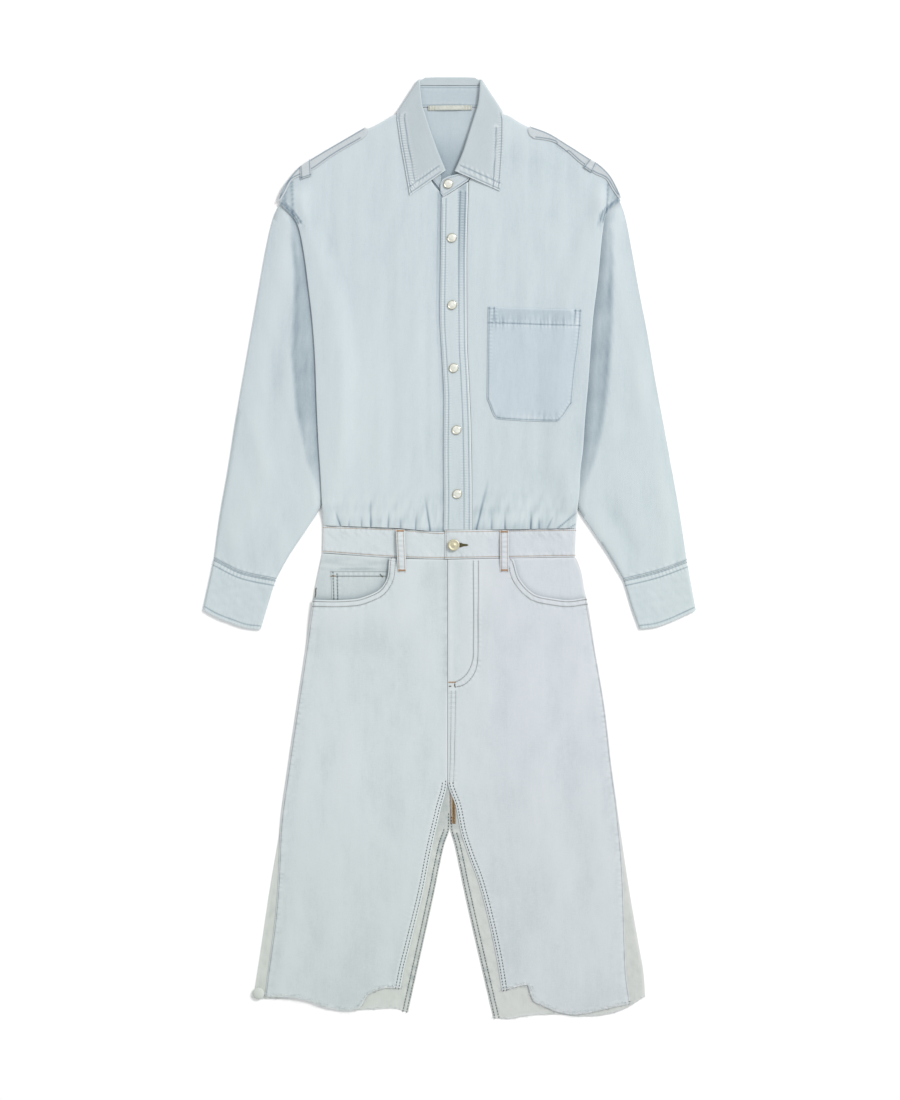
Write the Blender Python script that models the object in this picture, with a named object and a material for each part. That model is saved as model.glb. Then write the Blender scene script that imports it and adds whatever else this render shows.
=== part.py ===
# A denim shirt dress laid flat on its back: a snap-front shirt above a skirt cut like the front of
# a pair of jeans, with a high slit. +X is the viewer's right, +Y is towards the collar, +Z is up
# from the surface it lies on. All sizes are in millimetres until a mesh is made.
from collections import namedtuple

import bmesh
import bpy
import numpy as np

MM = 0.001

# Cloth walls and the gaps between them
CLOTH = 1.0
BAND = 1.4
PLACKET_WALL = 1.2
COLLAR_WALL = 1.4
CUFF_WALL = 1.4
SEAM = 0.35
STACK = 0.4

# Sleeves lie double on the surface, and the rear of the collar leaf lies under the back neck
SLEEVE_STACK = 2 * CLOTH + SEAM + STACK
COLLAR_STACK = COLLAR_WALL + STACK
FRONT_LOFT = 1.5
SKIRT_LOFT = 1.1
MOST_LOFT = 3.3
EDGE_FADE = 15.0

# Hard trim
SNAP_RADIUS = 6.0
SNAP_HEIGHT = 2.6
BUTTON_RADIUS = 7.5
BUTTON_HEIGHT = 4.2
TAB_RISE = 0.75
LOOP_WIDTH = 11.0
LOOP_RISE = 1.3

# Plan outlines, each a row (x, y). Left and right are the viewer's.
SHOULDER_LEFT = [(-221.5, 447.5), (-214.5, 466), (-205, 480.5), (-194, 492.5), (-179.5, 502),
                 (-119, 540.5), (-104, 545.6), (-88.4, 553.4), (-76, 560.8), (-69, 563.2), (-62.5, 564.6)]
NECK_LEFT = [(-62.5, 564.6), (-61.5, 557), (-56, 543), (-46, 518), (-31.5, 489), (-12, 462.3)]
SHOULDER_RIGHT = [(62.5, 564.6), (69, 563.2), (76, 561), (91, 552), (106, 544.5), (126, 537), (152, 521),
                  (183, 501.5), (190, 497.5), (206, 482), (217.5, 461), (221.5, 450.5)]
NECK_RIGHT = [(24.6, 476.4), (34.5, 494), (46.5, 518), (56, 543), (61.5, 557), (62.5, 564.6)]
SIDE_LEFT = [(-221.5, 447.5), (-198.5, 421), (-190, 383), (-185.3, 348), (-179, 294.5), (-175.2, 240),
             (-173.4, 186.6), (-170.8, 132), (-168, 89), (-166.4, 58), (-164.3, 28.6)]
SIDE_RIGHT = [(221.5, 450.5), (202.6, 433), (199, 415), (192.4, 349), (185.9, 297), (179.4, 210),
              (175.5, 166), (172.9, 127), (169.5, 99.5), (168.2, 73.5), (166, 53), (163.4, 25)]
WAIST_LEFT = [(-164.3, 28.6), (-71.5, 25.3), (-10, 20.8), (14, 20.8)]
WAIST_RIGHT = [(28.8, 22.9), (163.4, 25)]
NECK_BACK = [(-58, 568.6), (-50, 571.2), (0, 572.6), (50, 571.2), (58, 568.6)]
WAIST_BACK = [(-164.3, 28.6), (0, 22.8), (163.4, 25)]
PLACKET_LEFT = [(-10.9, 453.8), (-12, 374), (-13, 302), (-10, 244), (-7.6, 192), (-8.2, 127), (-7.6, 62),
                (-8.2, 22.9)]
PLACKET_RIGHT = [(24, 475.4), (21.6, 374), (22.1, 270), (24.6, 218), (27.2, 153), (28.4, 62), (28.4, 22.9)]
UNDERLAP = 14.0

# Armholes and hidden inner edges of the sleeves
ARMHOLE_LEFT = [(-224.2, 446.2), (-199.4, 420.2), (-176, 372), (-156, 305), (-143, 222)]
ARMHOLE_RIGHT = [(224, 449.6), (203.4, 431.6), (180, 378), (159, 305), (146, 222)]
SLEEVE_OUTER_LEFT = [(-224.2, 446.2), (-228.8, 432), (-238, 393), (-248.3, 335), (-258.7, 276), (-269, 218),
                     (-279.5, 159), (-288.6, 101), (-299, 42), (-306.8, -14.7)]
SLEEVE_INNER_LEFT = [(-143, 222), (-143.5, 190), (-146, 150), (-150.5, 110), (-158.5, 78), (-166.5, 56),
                     (-187, 23), (-210.5, -12.5), (-226.6, -41.8)]
SLEEVE_OUTER_RIGHT = [(224, 449.6), (227.5, 432), (235.3, 393), (245.7, 335), (257.2, 276), (267, 218),
                      (278, 159), (288.6, 101), (299, 42), (308, -17.3)]
SLEEVE_INNER_RIGHT = [(146, 222), (146.5, 190), (148.5, 150), (152, 110), (158.5, 76), (166, 52),
                      (184.6, 23.4), (208, -12.4), (225.5, -42)]
CUFF_SEAM_LEFT = [(-306.8, -14.7), (-268.3, -33), (-226.6, -41.8)]
CUFF_SEAM_RIGHT = [(308, -17.3), (268, -31.5), (225.5, -42)]
CUFF_EDGE_LEFT = [(-321.2, -80.5), (-305.5, -89.5), (-284, -98), (-262, -105), (-246.5, -106.5)]
CUFF_EDGE_RIGHT = [(319.8, -81.5), (305, -88.5), (286, -97), (266, -103.5), (246.5, -106)]
CUFF_INNER_LEFT = [(-227, -42.4), (-230, -52), (-246.5, -106.5)]
CUFF_INNER_RIGHT = [(226.2, -42.6), (230.5, -58), (237, -80), (246.5, -106)]

# Shoulder straps
EPAULETTE_LEFT_OUTER = [(-110.5, 546.2), (-180.7, 504.8), (-195.7, 494.9), (-207.2, 482.2), (-217.1, 467.2),
                        (-223.6, 450)]
EPAULETTE_LEFT_INNER = [(-113.5, 531.5), (-150.8, 510), (-180.7, 489.5), (-195, 483), (-205.4, 477.4),
                        (-214.3, 461), (-219.6, 451.4)]
EPAULETTE_RIGHT_OUTER = [(104, 547.4), (126.1, 539.4), (152.8, 523.6), (184.3, 503.6), (191.1, 499.7),
                         (207.5, 484.1), (219.2, 462.2), (222.3, 454.5)]
EPAULETTE_RIGHT_INNER = [(108.5, 531.5), (132, 528), (171, 498.5), (188, 486), (202.5, 479.1),
                         (210.6, 466.1), (218.3, 454.6)]

# Skirt outlines
BAND_TOP_LEFT = [(-164.5, 28), (-71.5, 24.7), (-10, 20.2), (26, 20.2)]
BAND_FOOT_LEFT = [(-165.1, -6.6), (-70.2, -13.3), (-10.4, -15), (26, -15)]
BAND_TOP_RIGHT = [(-6.5, 22.2), (163.6, 24.4)]
BAND_FOOT_RIGHT = [(-6.5, -15), (162.5, -12.1)]
BAND_TOP_BACK = [(-164, 27.5), (0, 22), (163.2, 24)]
BAND_FOOT_BACK = [(-164.6, -6.8), (0, -14), (162.3, -11.9)]
HIP_LEFT = [(-165.2, -7.1), (-167.7, -16), (-171.6, -36), (-175.5, -55), (-179.4, -75), (-187.2, -133),
            (-199, -211), (-210.6, -289), (-221, -367)]
HIP_RIGHT = [(162.6, -12.6), (165.1, -16.3), (171.6, -36), (174.6, -55), (179.4, -75), (188.5, -133),
             (201.5, -211), (210.6, -289), (219, -350)]
FRONT_SIDE_LEFT = [(-178, -67.8), (-187.2, -133), (-199, -211), (-210.6, -289), (-220.6, -367),
                   (-223.6, -436), (-227.5, -483), (-236.6, -551), (-240.8, -584)]
FRONT_SIDE_RIGHT = [(177, -65.2), (188.5, -133), (201.5, -211), (210.6, -289), (217.5, -340),
                    (224.9, -427), (227.5, -510), (229.1, -551), (234.5, -593)]
BACK_SIDE_LEFT = HIP_LEFT + [(-234, -445), (-245.7, -523), (-255.5, -586)]
BACK_SIDE_RIGHT = HIP_RIGHT + [(221.4, -367), (233, -445), (246.5, -523), (251.5, -552), (254, -584)]
POCKET_MOUTH_LEFT = [(-178, -67.8), (-151, -68.4), (-123.5, -67), (-105.3, -61.8), (-90.5, -53.6),
                     (-81, -36), (-79.3, -17.6), (-78.6, -13.7), (-70.2, -14.4), (-3.4, -15.7)]
POCKET_MOUTH_RIGHT = [(-2.9, -15.7), (81, -14.2), (83, -17), (88.4, -36), (98.4, -51), (113, -61.8),
                      (131.3, -65.7), (153.4, -68.3), (177, -65.2)]
SLIT_LEFT = [(-3.4, -15.7), (-3.4, -303), (-12, -341), (-24.5, -396), (-34, -445), (-51.5, -517),
             (-59.5, -549), (-64.4, -574)]
SLIT_RIGHT = [(-2.9, -15.7), (-2.9, -303), (8, -338), (14.3, -370), (24, -400), (37, -435), (50, -484),
              (61, -536), (67.6, -576.5)]
HEM_FRONT_LEFT = [(-240.8, -584), (-205.4, -585.7), (-184.6, -589.6), (-160, -598.7), (-134.4, -602.6),
                  (-122, -601.3), (-114.4, -594.8), (-107.9, -583), (-100, -578), (-79.3, -572.7),
                  (-64.4, -574)]
HEM_FRONT_RIGHT = [(67.6, -576.5), (89, -571), (100, -569), (104.8, -581), (109, -590), (121, -596),
                   (141, -604), (160, -607.5), (175.5, -606), (199, -601), (234.5, -593)]
HEM_BACK_LEFT = [(-255.5, -586), (-232, -587.2), (-205, -586), (-180, -588.5), (-150, -598), (-128, -602),
                 (-110, -601.5), (-91, -600.5), (-75, -599.5), (-54.6, -604.5)]
HEM_BACK_RIGHT = [(56.7, -612.5), (77, -613.5), (94, -610.5), (117, -608), (143, -607.5), (166, -610),
                  (185, -610), (205, -607.5), (224, -602), (254, -584)]
BACK_SLIT_TOP = -362.0

# Waist gathers, each a trough that starts at x on the seam, leans, and fades over its length
Gather = namedtuple("Gather", "at lean length width depth")
GATHERS = [Gather(*row) for row in [
    (-141, -0.35, 18, 5, 1.7), (-132, 0.1, 9, 4, 1.2), (-115, 0, 12, 4, 1.4), (-103, 0, 26, 4, 1.7),
    (-80.6, 0.05, 20, 5, 1.3), (-64.4, 0, 12, 5, 1.1), (-44.8, 0.05, 14, 5, 1.2),
    (-26, -0.15, 32, 4, 1.6), (34.5, 0.24, 45, 5, 1.7), (54, 0, 16, 5, 0.9), (71.5, 0, 16, 4, 1.4),
    (104.8, 0.05, 16, 4, 1.8), (115.7, 0, 12, 4, 1.3), (126, 0.5, 14, 4, 1.2), (139, 1.2, 20, 5, 1.7),
    (154, 1.4, 12, 4, 1.5),
]]
Fold = namedtuple("Fold", "x_top y_top x_foot y_foot width height")
BODICE_FOLDS = [Fold(*row) for row in [
    (-30, 350, -30, 70, 7, -0.7), (-58, 330, -52, 120, 14, 0.5), (37, 170, 38, 80, 6, -0.7),
    (50, 160, 43, 86, 6, -0.8), (106, 104, 86, 52, 9, -0.9), (102, 92, 108, 44, 7, -0.6),
    (-150, 330, -142, 90, 16, 0.6), (-196, 465, -186, 408, 8, 1.0), (196, 470, 190, 405, 8, 1.0),
    (120, 420, 150, 350, 16, 0.5), (-110, 430, -140, 350, 16, 0.5),
]]
SLEEVE_FOLDS = [Fold(*row) for row in [
    (-243, 400, -282, 150, 15, 0.9), (-212, 330, -240, 150, 13, -0.8), (-232, 130, -266, 10, 12, 0.9),
    (-280, 110, -292, 0, 10, 0.6), (241, 400, 276, 150, 15, 0.9), (214, 320, 240, 150, 13, -0.8),
    (222, 120, 256, 10, 12, 0.9), (276, 120, 290, 0, 10, 0.6), (-205, 60, -250, -20, 8, -0.6),
    (205, 60, 250, -20, 8, -0.6),
]]
SKIRT_FOLDS = [Fold(*row) for row in [
    (-120, -150, -150, -530, 26, 0.9), (-62, -210, -100, -500, 22, -0.6), (100, -160, 142, -530, 26, 0.9),
    (56, -230, 96, -510, 22, -0.6), (-190, -260, -205, -520, 18, 0.5), (188, -260, 204, -540, 18, 0.5),
]]

# Grid fractions
BODICE_ROWS = [0, 0.03, 0.07, 0.12, 0.18, 0.25, 0.33, 0.42, 0.51, 0.6, 0.69, 0.77, 0.84, 0.9, 0.94, 0.968,
               0.987, 1]
BACK_COLUMNS = [0, 0.025, 0.05, 0.08, 0.115, 0.155, 0.2, 0.25, 0.3, 0.36, 0.5, 0.64, 0.7, 0.75, 0.8, 0.845,
                0.885, 0.92, 0.95, 0.975, 1]
TUBE_COLUMNS = [0, 0.015, 0.09, 0.21, 0.35, 0.5, 0.65, 0.79, 0.91, 0.985, 1]
SLEEVE_ROWS = [0, 0.045, 0.1, 0.17, 0.25, 0.34, 0.43, 0.52, 0.61, 0.7, 0.79, 0.88, 0.95, 1]
SKIRT_ROWS = [0, 0.03, 0.07, 0.12, 0.18, 0.25, 0.34, 0.43, 0.52, 0.6, 0.69, 0.78, 0.87, 0.95, 1]

# Snaps down the placket and the jeans button, as plan positions
SNAPS = [(-2.0, 472.5), (2.6, 402.4), (3.0, 315.2), (4.9, 233.3), (8.6, 152.8), (9.6, 69.6)]
BUTTON = (4.9, 3.2)

# Collar stations from the middle of the back to one front end, in plan and height. T is the middle
# of the roll, B the leaf's free edge and S the neck seam; the lip is the leaf's inner side.
Station = namedtuple("Station", "tx ty tz bx by bz sx sy lip")
COLLAR_REAR = [Station(*row) for row in [
    (0, 609.9, 1.7, 0, 553, 1.7, 0, 573.2, 9), (18, 609.9, 1.7, 22, 554.5, 1.7, 20, 573.2, 9),
    (33, 609.6, 1.7, 52, 561, 1.7, 45, 572.9, 9),
]]
COLLAR_FRONT_LEFT = [Station(*row) for row in [
    (-39.6, 592, 6.4, -68.4, 556, 4.4, -59, 556, 5),
    (-37.4, 574.5, 6.8, -65.2, 533.7, 3.8, -54.3, 542.7, 5),
    (-32.4, 557.5, 6.8, -63, 520, 3.5, -50, 530.5, 5),
    (-27.5, 542, 6.6, -60.5, 506.4, 3.2, -44.8, 517.9, 5),
    (-17.2, 513.4, 5.7, -55.9, 480.4, 3, -30.7, 489.7, 5),
    (-7.2, 489, 4.4, -52, 458, 2.8, -11, 464, 5),
]]
COLLAR_FRONT_RIGHT = [Station(*row) for row in [
    (39.6, 592, 6.4, 69.3, 556, 4.4, 59, 556, 5),
    (37.4, 574.5, 6.8, 69, 533.7, 3.8, 54.3, 542.7, 5),
    (32.4, 557.5, 6.8, 68.5, 520, 3.6, 50.2, 530.5, 5),
    (27.5, 542, 6.8, 67.8, 506.4, 3.4, 45.2, 517.9, 5),
    (18.5, 513.4, 6.6, 66.3, 484.3, 3.2, 33.3, 494.5, 5),
    (8, 488.6, 6.1, 65, 463.5, 3, 23.6, 477.2, 5),
]]
REAR_ROLL = 1.0
FRONT_ROLL = 1.5
# At each side of the neck the collar folds from rear to front about an axis through these points
FOLD_TOP = (40.0, 603.1, 3.7)
FOLD_FOOT = (66.2, 565.2, 2.95)
FOLD_ANGLES = [0, 30, 60, 90, 120, 150, 180]
FOLD_INNER = 1.0
FOLD_SEAM_INNER = 0.67
FOLD_SEAM_AT = 40.0
# What each side of the fold is at its rear and its front: how far down the axis the roll and the
# free edge are, how far the edge stands off the axis, and the lip
FoldEnd = namedtuple("FoldEnd", "roll_at edge_at edge_off lip")
FOLD_REAR = FoldEnd(-5.0, 44.5, 2.26, 9.0)
FOLD_FRONT = FoldEnd(0.0, 49.5, 2.6, 6.0)
# Top and seam points of the tab that closes the collar, left of the middle
TAB = [((-2.5, 482.3, 4.9), (7, 465.6)), ((-9.6, 478.4, 4.8), (-8.4, 456.2)),
       ((-12.6, 473, 4.6), (-12.3, 461))]


def ramp(value, low, high):
    t = np.clip((value - low) / (high - low), 0, 1)
    return t * t * (3 - 2 * t)


def table_x(outline, y):
    # x of a side outline at a height y; the outlines run downwards
    points = np.array(outline[::-1], float)
    return np.interp(y, points[:, 1], points[:, 0])


def folds(rows, x, y):
    total = 0 * x
    for fold in rows:
        run_x, run_y = fold.x_foot - fold.x_top, fold.y_foot - fold.y_top
        length = np.hypot(run_x, run_y)
        along = ((x - fold.x_top) * run_x + (y - fold.y_top) * run_y) / length**2
        off = ((x - fold.x_top) * run_y - (y - fold.y_top) * run_x) / length
        total = total + fold.height * np.exp(-((off / fold.width) ** 2) - ((along - 0.5) / 0.45) ** 4)
    return total


def gathers(x, y, waist):
    # Puffs along the waist seam, with a trough at each gather that fades upwards
    up = np.maximum(y - waist, 0)
    puff = 2.0 * np.exp(-up / 40)
    for gather in GATHERS:
        off = (x - gather.at - gather.lean * up) / (gather.width + 0.12 * up)
        puff = puff - gather.depth * np.exp(-(off**2) - up / gather.length)
    return puff


def back_under(x, y):
    # The back lies on the surface, and over the tucked sleeve edges and the rear collar leaf
    left = ramp(table_x(ARMHOLE_LEFT[1:] + SLEEVE_INNER_LEFT[1:], y) - x, -34, -3)
    right = ramp(x - table_x(ARMHOLE_RIGHT[1:] + SLEEVE_INNER_RIGHT[1:], y), -34, -3)
    reach = ramp(y, 28, 56) * (1 - ramp(y, 428, 446))
    collar = ramp(y, 500, 547) * (1 - ramp(np.abs(x), 76, 150))
    return np.maximum(SLEEVE_STACK * np.maximum(left, right) * reach, COLLAR_STACK * collar)


def front_under(x, y):
    # The bodice fronts lie on the back, lofted away from their outer edges
    side = np.minimum(x - table_x(SIDE_LEFT, y), table_x(SIDE_RIGHT, y) - x)
    shoulder = np.interp(np.abs(x), [60, 110, 180, 205, 222], [568, 544, 502, 481, 448]) - y
    loft = FRONT_LOFT * (1 - np.exp(-np.maximum(side, 0) / EDGE_FADE))
    loft = loft * (1 - np.exp(-np.maximum(shoulder, 0) / EDGE_FADE))
    loft = loft + folds(BODICE_FOLDS, x, y) * ramp(side, 0, 22)
    near_waist = 1 - ramp(y, 30, 150)
    puffed = 0.5 + gathers(x, y, 24) * ramp(side, -4, 10)
    loft = loft + (np.maximum(puffed, 0.25) - 0.6 * loft) * near_waist
    loft = loft + (0.4 - loft) * ramp(x, -34, -15) * (1 - ramp(x, 15, 18))
    inner = 1 - ramp(x, 30, 60)
    loft = loft + (1.65 - loft) * inner * ramp(x, 15, 18)
    return back_under(x, y) + CLOTH + SEAM + np.clip(loft, 0, MOST_LOFT)


def band_under(x, y):
    # The right end of the waistband laps over the left one at the button
    lap = (BAND + SEAM) * (1 - ramp(x, 28, 75))
    return BAND + SEAM + lap


def pocket_lift(x, y):
    # The skirt fronts rise over the pocket facings, and on the left over the coin pocket too
    left = (1 - ramp(x, -70, -25)) * ramp(y, -135, -82)
    right = ramp(x, 30, 76) * ramp(y, -135, -82)
    return (2 * CLOTH + 2 * SEAM) * left + (CLOTH + SEAM) * right


def skirt_under(x, y):
    side = np.minimum(x - table_x(FRONT_SIDE_LEFT, y), table_x(FRONT_SIDE_RIGHT, y) - x)
    slit = np.where(x < 2, table_x(SLIT_LEFT, y) - x, x - table_x(SLIT_RIGHT, y))
    open_slit = 1 - ramp(y, -330, -290)
    loft = SKIRT_LOFT * (1 - np.exp(-np.maximum(side, 0) / 18))
    loft = loft * (1 - open_slit * np.exp(-np.maximum(slit, 0) / 25))
    loft = loft + folds(SKIRT_FOLDS, x, y) * ramp(side, 0, 25) * ramp(slit, 0, 25)
    fly = 0.8 * ramp(x, -3.2, -2.9) * (1 - ramp(x, 20, 50)) * ramp(y, -210, -170)
    return CLOTH + SEAM + np.clip(loft, 0, MOST_LOFT) + pocket_lift(x, y) + fly


def curve(points, where):
    # Smooth, never overshooting, through a short outline, at fractions of its length
    p = np.array(points, float)
    step = np.linalg.norm(np.diff(p, axis=0), axis=1)
    at = np.r_[0, np.cumsum(step)] / step.sum()
    slope = np.diff(p, axis=0) / np.diff(at)[:, None]
    tangent = np.vstack([slope[:1], np.zeros((len(p) - 2, 2)), slope[-1:]])
    for i in range(1, len(p) - 1):
        a, b = slope[i - 1], slope[i]
        same = a * b > 0
        tangent[i] = np.where(same, 2 * a * b / np.where(same, a + b, 1), 0)
    where = np.asarray(where, float)
    i = np.clip(np.searchsorted(at, where, side="right") - 1, 0, len(p) - 2)
    width = (at[i + 1] - at[i])[:, None]
    t = ((where - at[i]) / width[:, 0])[:, None]
    low = (2 * t**3 - 3 * t**2 + 1) * p[i] + (t**3 - 2 * t**2 + t) * width * tangent[i]
    high = (3 * t**2 - 2 * t**3) * p[i + 1] + (t**3 - t**2) * width * tangent[i + 1]
    return low + high


def patch(top, foot, left, right, across, down):
    # Plan points of a panel between its four edges, rows running down
    u = np.asarray(across, float)
    v = np.asarray(down, float)
    t, f = curve(top, u), curve(foot, u)
    l, r = curve(left, v), curve(right, v)
    u, v = u[None, :, None], v[:, None, None]
    corners = (1 - u) * (1 - v) * t[0] + u * (1 - v) * t[-1] + (1 - u) * v * f[0] + u * v * f[-1]
    return (1 - v) * t[None] + v * f[None] + (1 - u) * l[:, None] + u * r[:, None] - corners


def even(count):
    return np.linspace(0, 1, count)


def material(name, colour, roughness, metallic=0.0):
    found = bpy.data.materials.get(name)
    if found:
        return found
    made = bpy.data.materials.new(name)
    made.use_nodes = True
    shader = made.node_tree.nodes["Principled BSDF"]
    shader.inputs["Base Color"].default_value = (*colour, 1)
    shader.inputs["Roughness"].default_value = roughness
    shader.inputs["Metallic"].default_value = metallic
    made.diffuse_color = (*colour, 1)
    return made


SHIRT = ("shirt denim", (0.60, 0.68, 0.73), 0.9)
JEANS = ("jeans denim", (0.63, 0.70, 0.73), 0.9)
POCKET = ("pocket denim", (0.56, 0.65, 0.71), 0.9)
WRONG_SIDE = ("wrong side", (0.62, 0.66, 0.66), 0.95)
TAPE = ("cotton tape", (0.64, 0.66, 0.61), 0.9)
PEARL = ("pearl snap", (0.82, 0.81, 0.76), 0.3, 0.2)
BRASS = ("antique brass", (0.56, 0.50, 0.36), 0.45, 0.9)


def solid(name, points, faces, finish, smooth=True):
    mesh = bpy.data.meshes.new(name)
    mesh.from_pydata([tuple(MM * c for c in p) for p in points], [], faces)
    work = bmesh.new()
    work.from_mesh(mesh)
    bmesh.ops.recalc_face_normals(work, faces=work.faces)
    work.to_mesh(mesh)
    work.free()
    if smooth:
        mesh.shade_smooth()
        mesh.set_sharp_from_angle(angle=0.7)
    mesh.materials.append(material(*finish))
    made = bpy.data.objects.new(name, mesh)
    bpy.context.scene.collection.objects.link(made)
    return made


def closed_wall(name, upper, lower, finish):
    # Two matching grids of points, joined round their edge
    rows, columns = upper.shape[:2]
    points = np.vstack([upper.reshape(-1, 3), lower.reshape(-1, 3)])
    back = rows * columns
    faces = []
    for i in range(rows - 1):
        for j in range(columns - 1):
            a = i * columns + j
            quad = (a, a + 1, a + columns + 1, a + columns)
            faces.append(quad)
            faces.append(tuple(back + k for k in quad[::-1]))
    rim = list(range(columns - 1))
    rim += [i * columns + columns - 1 for i in range(rows - 1)]
    rim += [(rows - 1) * columns + j for j in range(columns - 1, 0, -1)]
    rim += [i * columns for i in range(rows - 1, 0, -1)]
    for a, b in zip(rim, rim[1:] + rim[:1]):
        faces.append((b, a, back + a, back + b))
    return solid(name, points, faces, finish)


def panel(name, plan, under, wall, finish):
    # A wall of even height over a plan, with its underside given by a function of place
    low = under(plan[..., 0], plan[..., 1]) + 0 * plan[..., 0]
    lower = np.dstack([plan, low])
    upper = np.dstack([plan, low + wall])
    return closed_wall(name, upper, lower, finish)


def tube(name, plan, loft, wall, finish):
    # A flattened tube: each row of the plan is a ring, top wall over bottom wall, open at both ends
    flat = 2 * wall + SEAM
    outside, inside = [], []
    for row in plan:
        run = (row[-1] - row[0]) / np.linalg.norm(row[-1] - row[0])
        plan_row = row.copy()
        plan_row[1] = row[0] + 1.7 * wall * run
        plan_row[-2] = row[-1] - 1.7 * wall * run
        middle = plan_row[1:-1]
        high = flat + loft(middle[:, 0], middle[:, 1])
        outer = [(*row[0], flat / 2), *np.column_stack([middle, high]), (*row[-1], flat / 2)]
        outer += [(*p, 0.0) for p in middle[::-1]]
        start, end = row[0] + wall * run, row[-1] - wall * run
        inner = [(*start, flat / 2), *np.column_stack([middle, high - wall]), (*end, flat / 2)]
        inner += [(*p, wall) for p in middle[::-1]]
        outside.append(outer)
        inside.append(inner)
    rings, around = len(outside), len(outside[0])
    points = [tuple(p) for ring in outside + inside for p in ring]
    back = rings * around
    faces = []
    for j in range(around):
        k = (j + 1) % around
        for i in range(rings - 1):
            a, b = i * around, (i + 1) * around
            faces.append((a + j, a + k, b + k, b + j))
            faces.append((back + b + j, back + b + k, back + a + k, back + a + j))
        last = (rings - 1) * around
        faces.append((j, back + j, back + k, k))
        faces.append((last + k, back + last + k, back + last + j, last + j))
    return solid(name, points, faces, finish)


def turned(name, profile, centre, sides, finish):
    # A round piece from rows (radius, height), first and last on the axis
    angles = 2 * np.pi * np.arange(sides) / sides
    points = [(centre[0], centre[1], centre[2] + profile[0][1])]
    for radius, height in profile[1:-1]:
        ring = [(centre[0] + radius * np.cos(a), centre[1] + radius * np.sin(a), centre[2] + height)
                for a in angles]
        points += ring
    points.append((centre[0], centre[1], centre[2] + profile[-1][1]))
    last = len(points) - 1
    faces = []
    for k in range(sides):
        m = (k + 1) % sides
        faces.append((0, 1 + k, 1 + m))
        for ring in range(len(profile) - 3):
            a = 1 + ring * sides
            faces.append((a + k, a + sides + k, a + sides + m, a + m))
        end = 1 + (len(profile) - 3) * sides
        faces.append((end + k, last, end + m))
    return solid(name, points, faces, finish)


def bodice_columns(outline, low, high):
    # Grid fractions along a waist: one at each gather, one between, and the ends
    start, end = outline[0][0], outline[-1][0]
    at = sorted(gather.at for gather in GATHERS if low < gather.at < high)
    spots = [start] + at + [end]
    between = [(a + b) / 2 for a, b in zip(spots, spots[1:])]
    places = sorted(spots + between)
    wide = [(a + b) / 2 for a, b in zip(places, places[1:]) if b - a > 14]
    return (np.array(sorted(places + wide)) - start) / (end - start)


def bodice():
    top = SHOULDER_LEFT + NECK_BACK + SHOULDER_RIGHT
    plan = patch(top, WAIST_BACK, SIDE_LEFT, SIDE_RIGHT, BACK_COLUMNS, BODICE_ROWS)
    panel("bodice_back", plan, back_under, CLOTH, SHIRT)
    under_edge = [(UNDERLAP, 453), (UNDERLAP, 20.8)]
    top = SHOULDER_LEFT + NECK_LEFT[1:] + [(UNDERLAP, 453)]
    columns = bodice_columns(WAIST_LEFT, -160, -16)
    plan = patch(top, WAIST_LEFT, SIDE_LEFT, under_edge, columns, BODICE_ROWS)
    panel("bodice_front_left", plan, front_under, CLOTH, SHIRT)
    inner_edge = [(x + 0.45, y) for x, y in PLACKET_RIGHT]
    inner_edge[0] = NECK_RIGHT[0]
    waist = [(inner_edge[-1][0], 22.9), WAIST_RIGHT[-1]]
    columns = bodice_columns(WAIST_RIGHT, 30, 160)
    plan = patch(NECK_RIGHT + SHOULDER_RIGHT[1:], waist, inner_edge, SIDE_RIGHT, columns, BODICE_ROWS)
    panel("bodice_front_right", plan, front_under, CLOTH, SHIRT)


def front_top(x, y):
    return front_under(x, y) + CLOTH


def placket_under(x, y):
    return front_top(0 * x, 0 * y + 300) + SEAM


def placket():
    top = [PLACKET_LEFT[0], PLACKET_RIGHT[0]]
    foot = [PLACKET_LEFT[-1], PLACKET_RIGHT[-1]]
    plan = patch(top, foot, PLACKET_LEFT, PLACKET_RIGHT, even(5), even(20))
    panel("placket", plan, placket_under, PLACKET_WALL, SHIRT)


def chest_pocket():
    left = [(49.4, 312.7), (48.1, 193)]
    right = [(171, 308.8), (168.5, 275), (162.5, 229.5), (158.6, 187)]
    foot = [(48.1, 193), (62, 167.3), (137.8, 163.7), (158.6, 187)]
    plan = patch([left[0], right[0]], foot, left, right, even(9), even(9))
    panel("chest_pocket", plan, lambda x, y: front_top(x, y) + STACK, CLOTH, POCKET)


def collar_section(roll, edge, up, radius, lip, seam):
    # One cut through the collar: its roll, the way the leaf falls and the way its inner side lies
    roll, edge, up = np.array(roll, float), np.array(edge, float), np.array(up, float)
    length = np.linalg.norm(edge - roll)
    fall = (edge - roll) / length
    up = up - fall * (up @ fall)
    return roll, fall, length, up / np.linalg.norm(up), radius, lip, np.array(seam, float)


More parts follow.
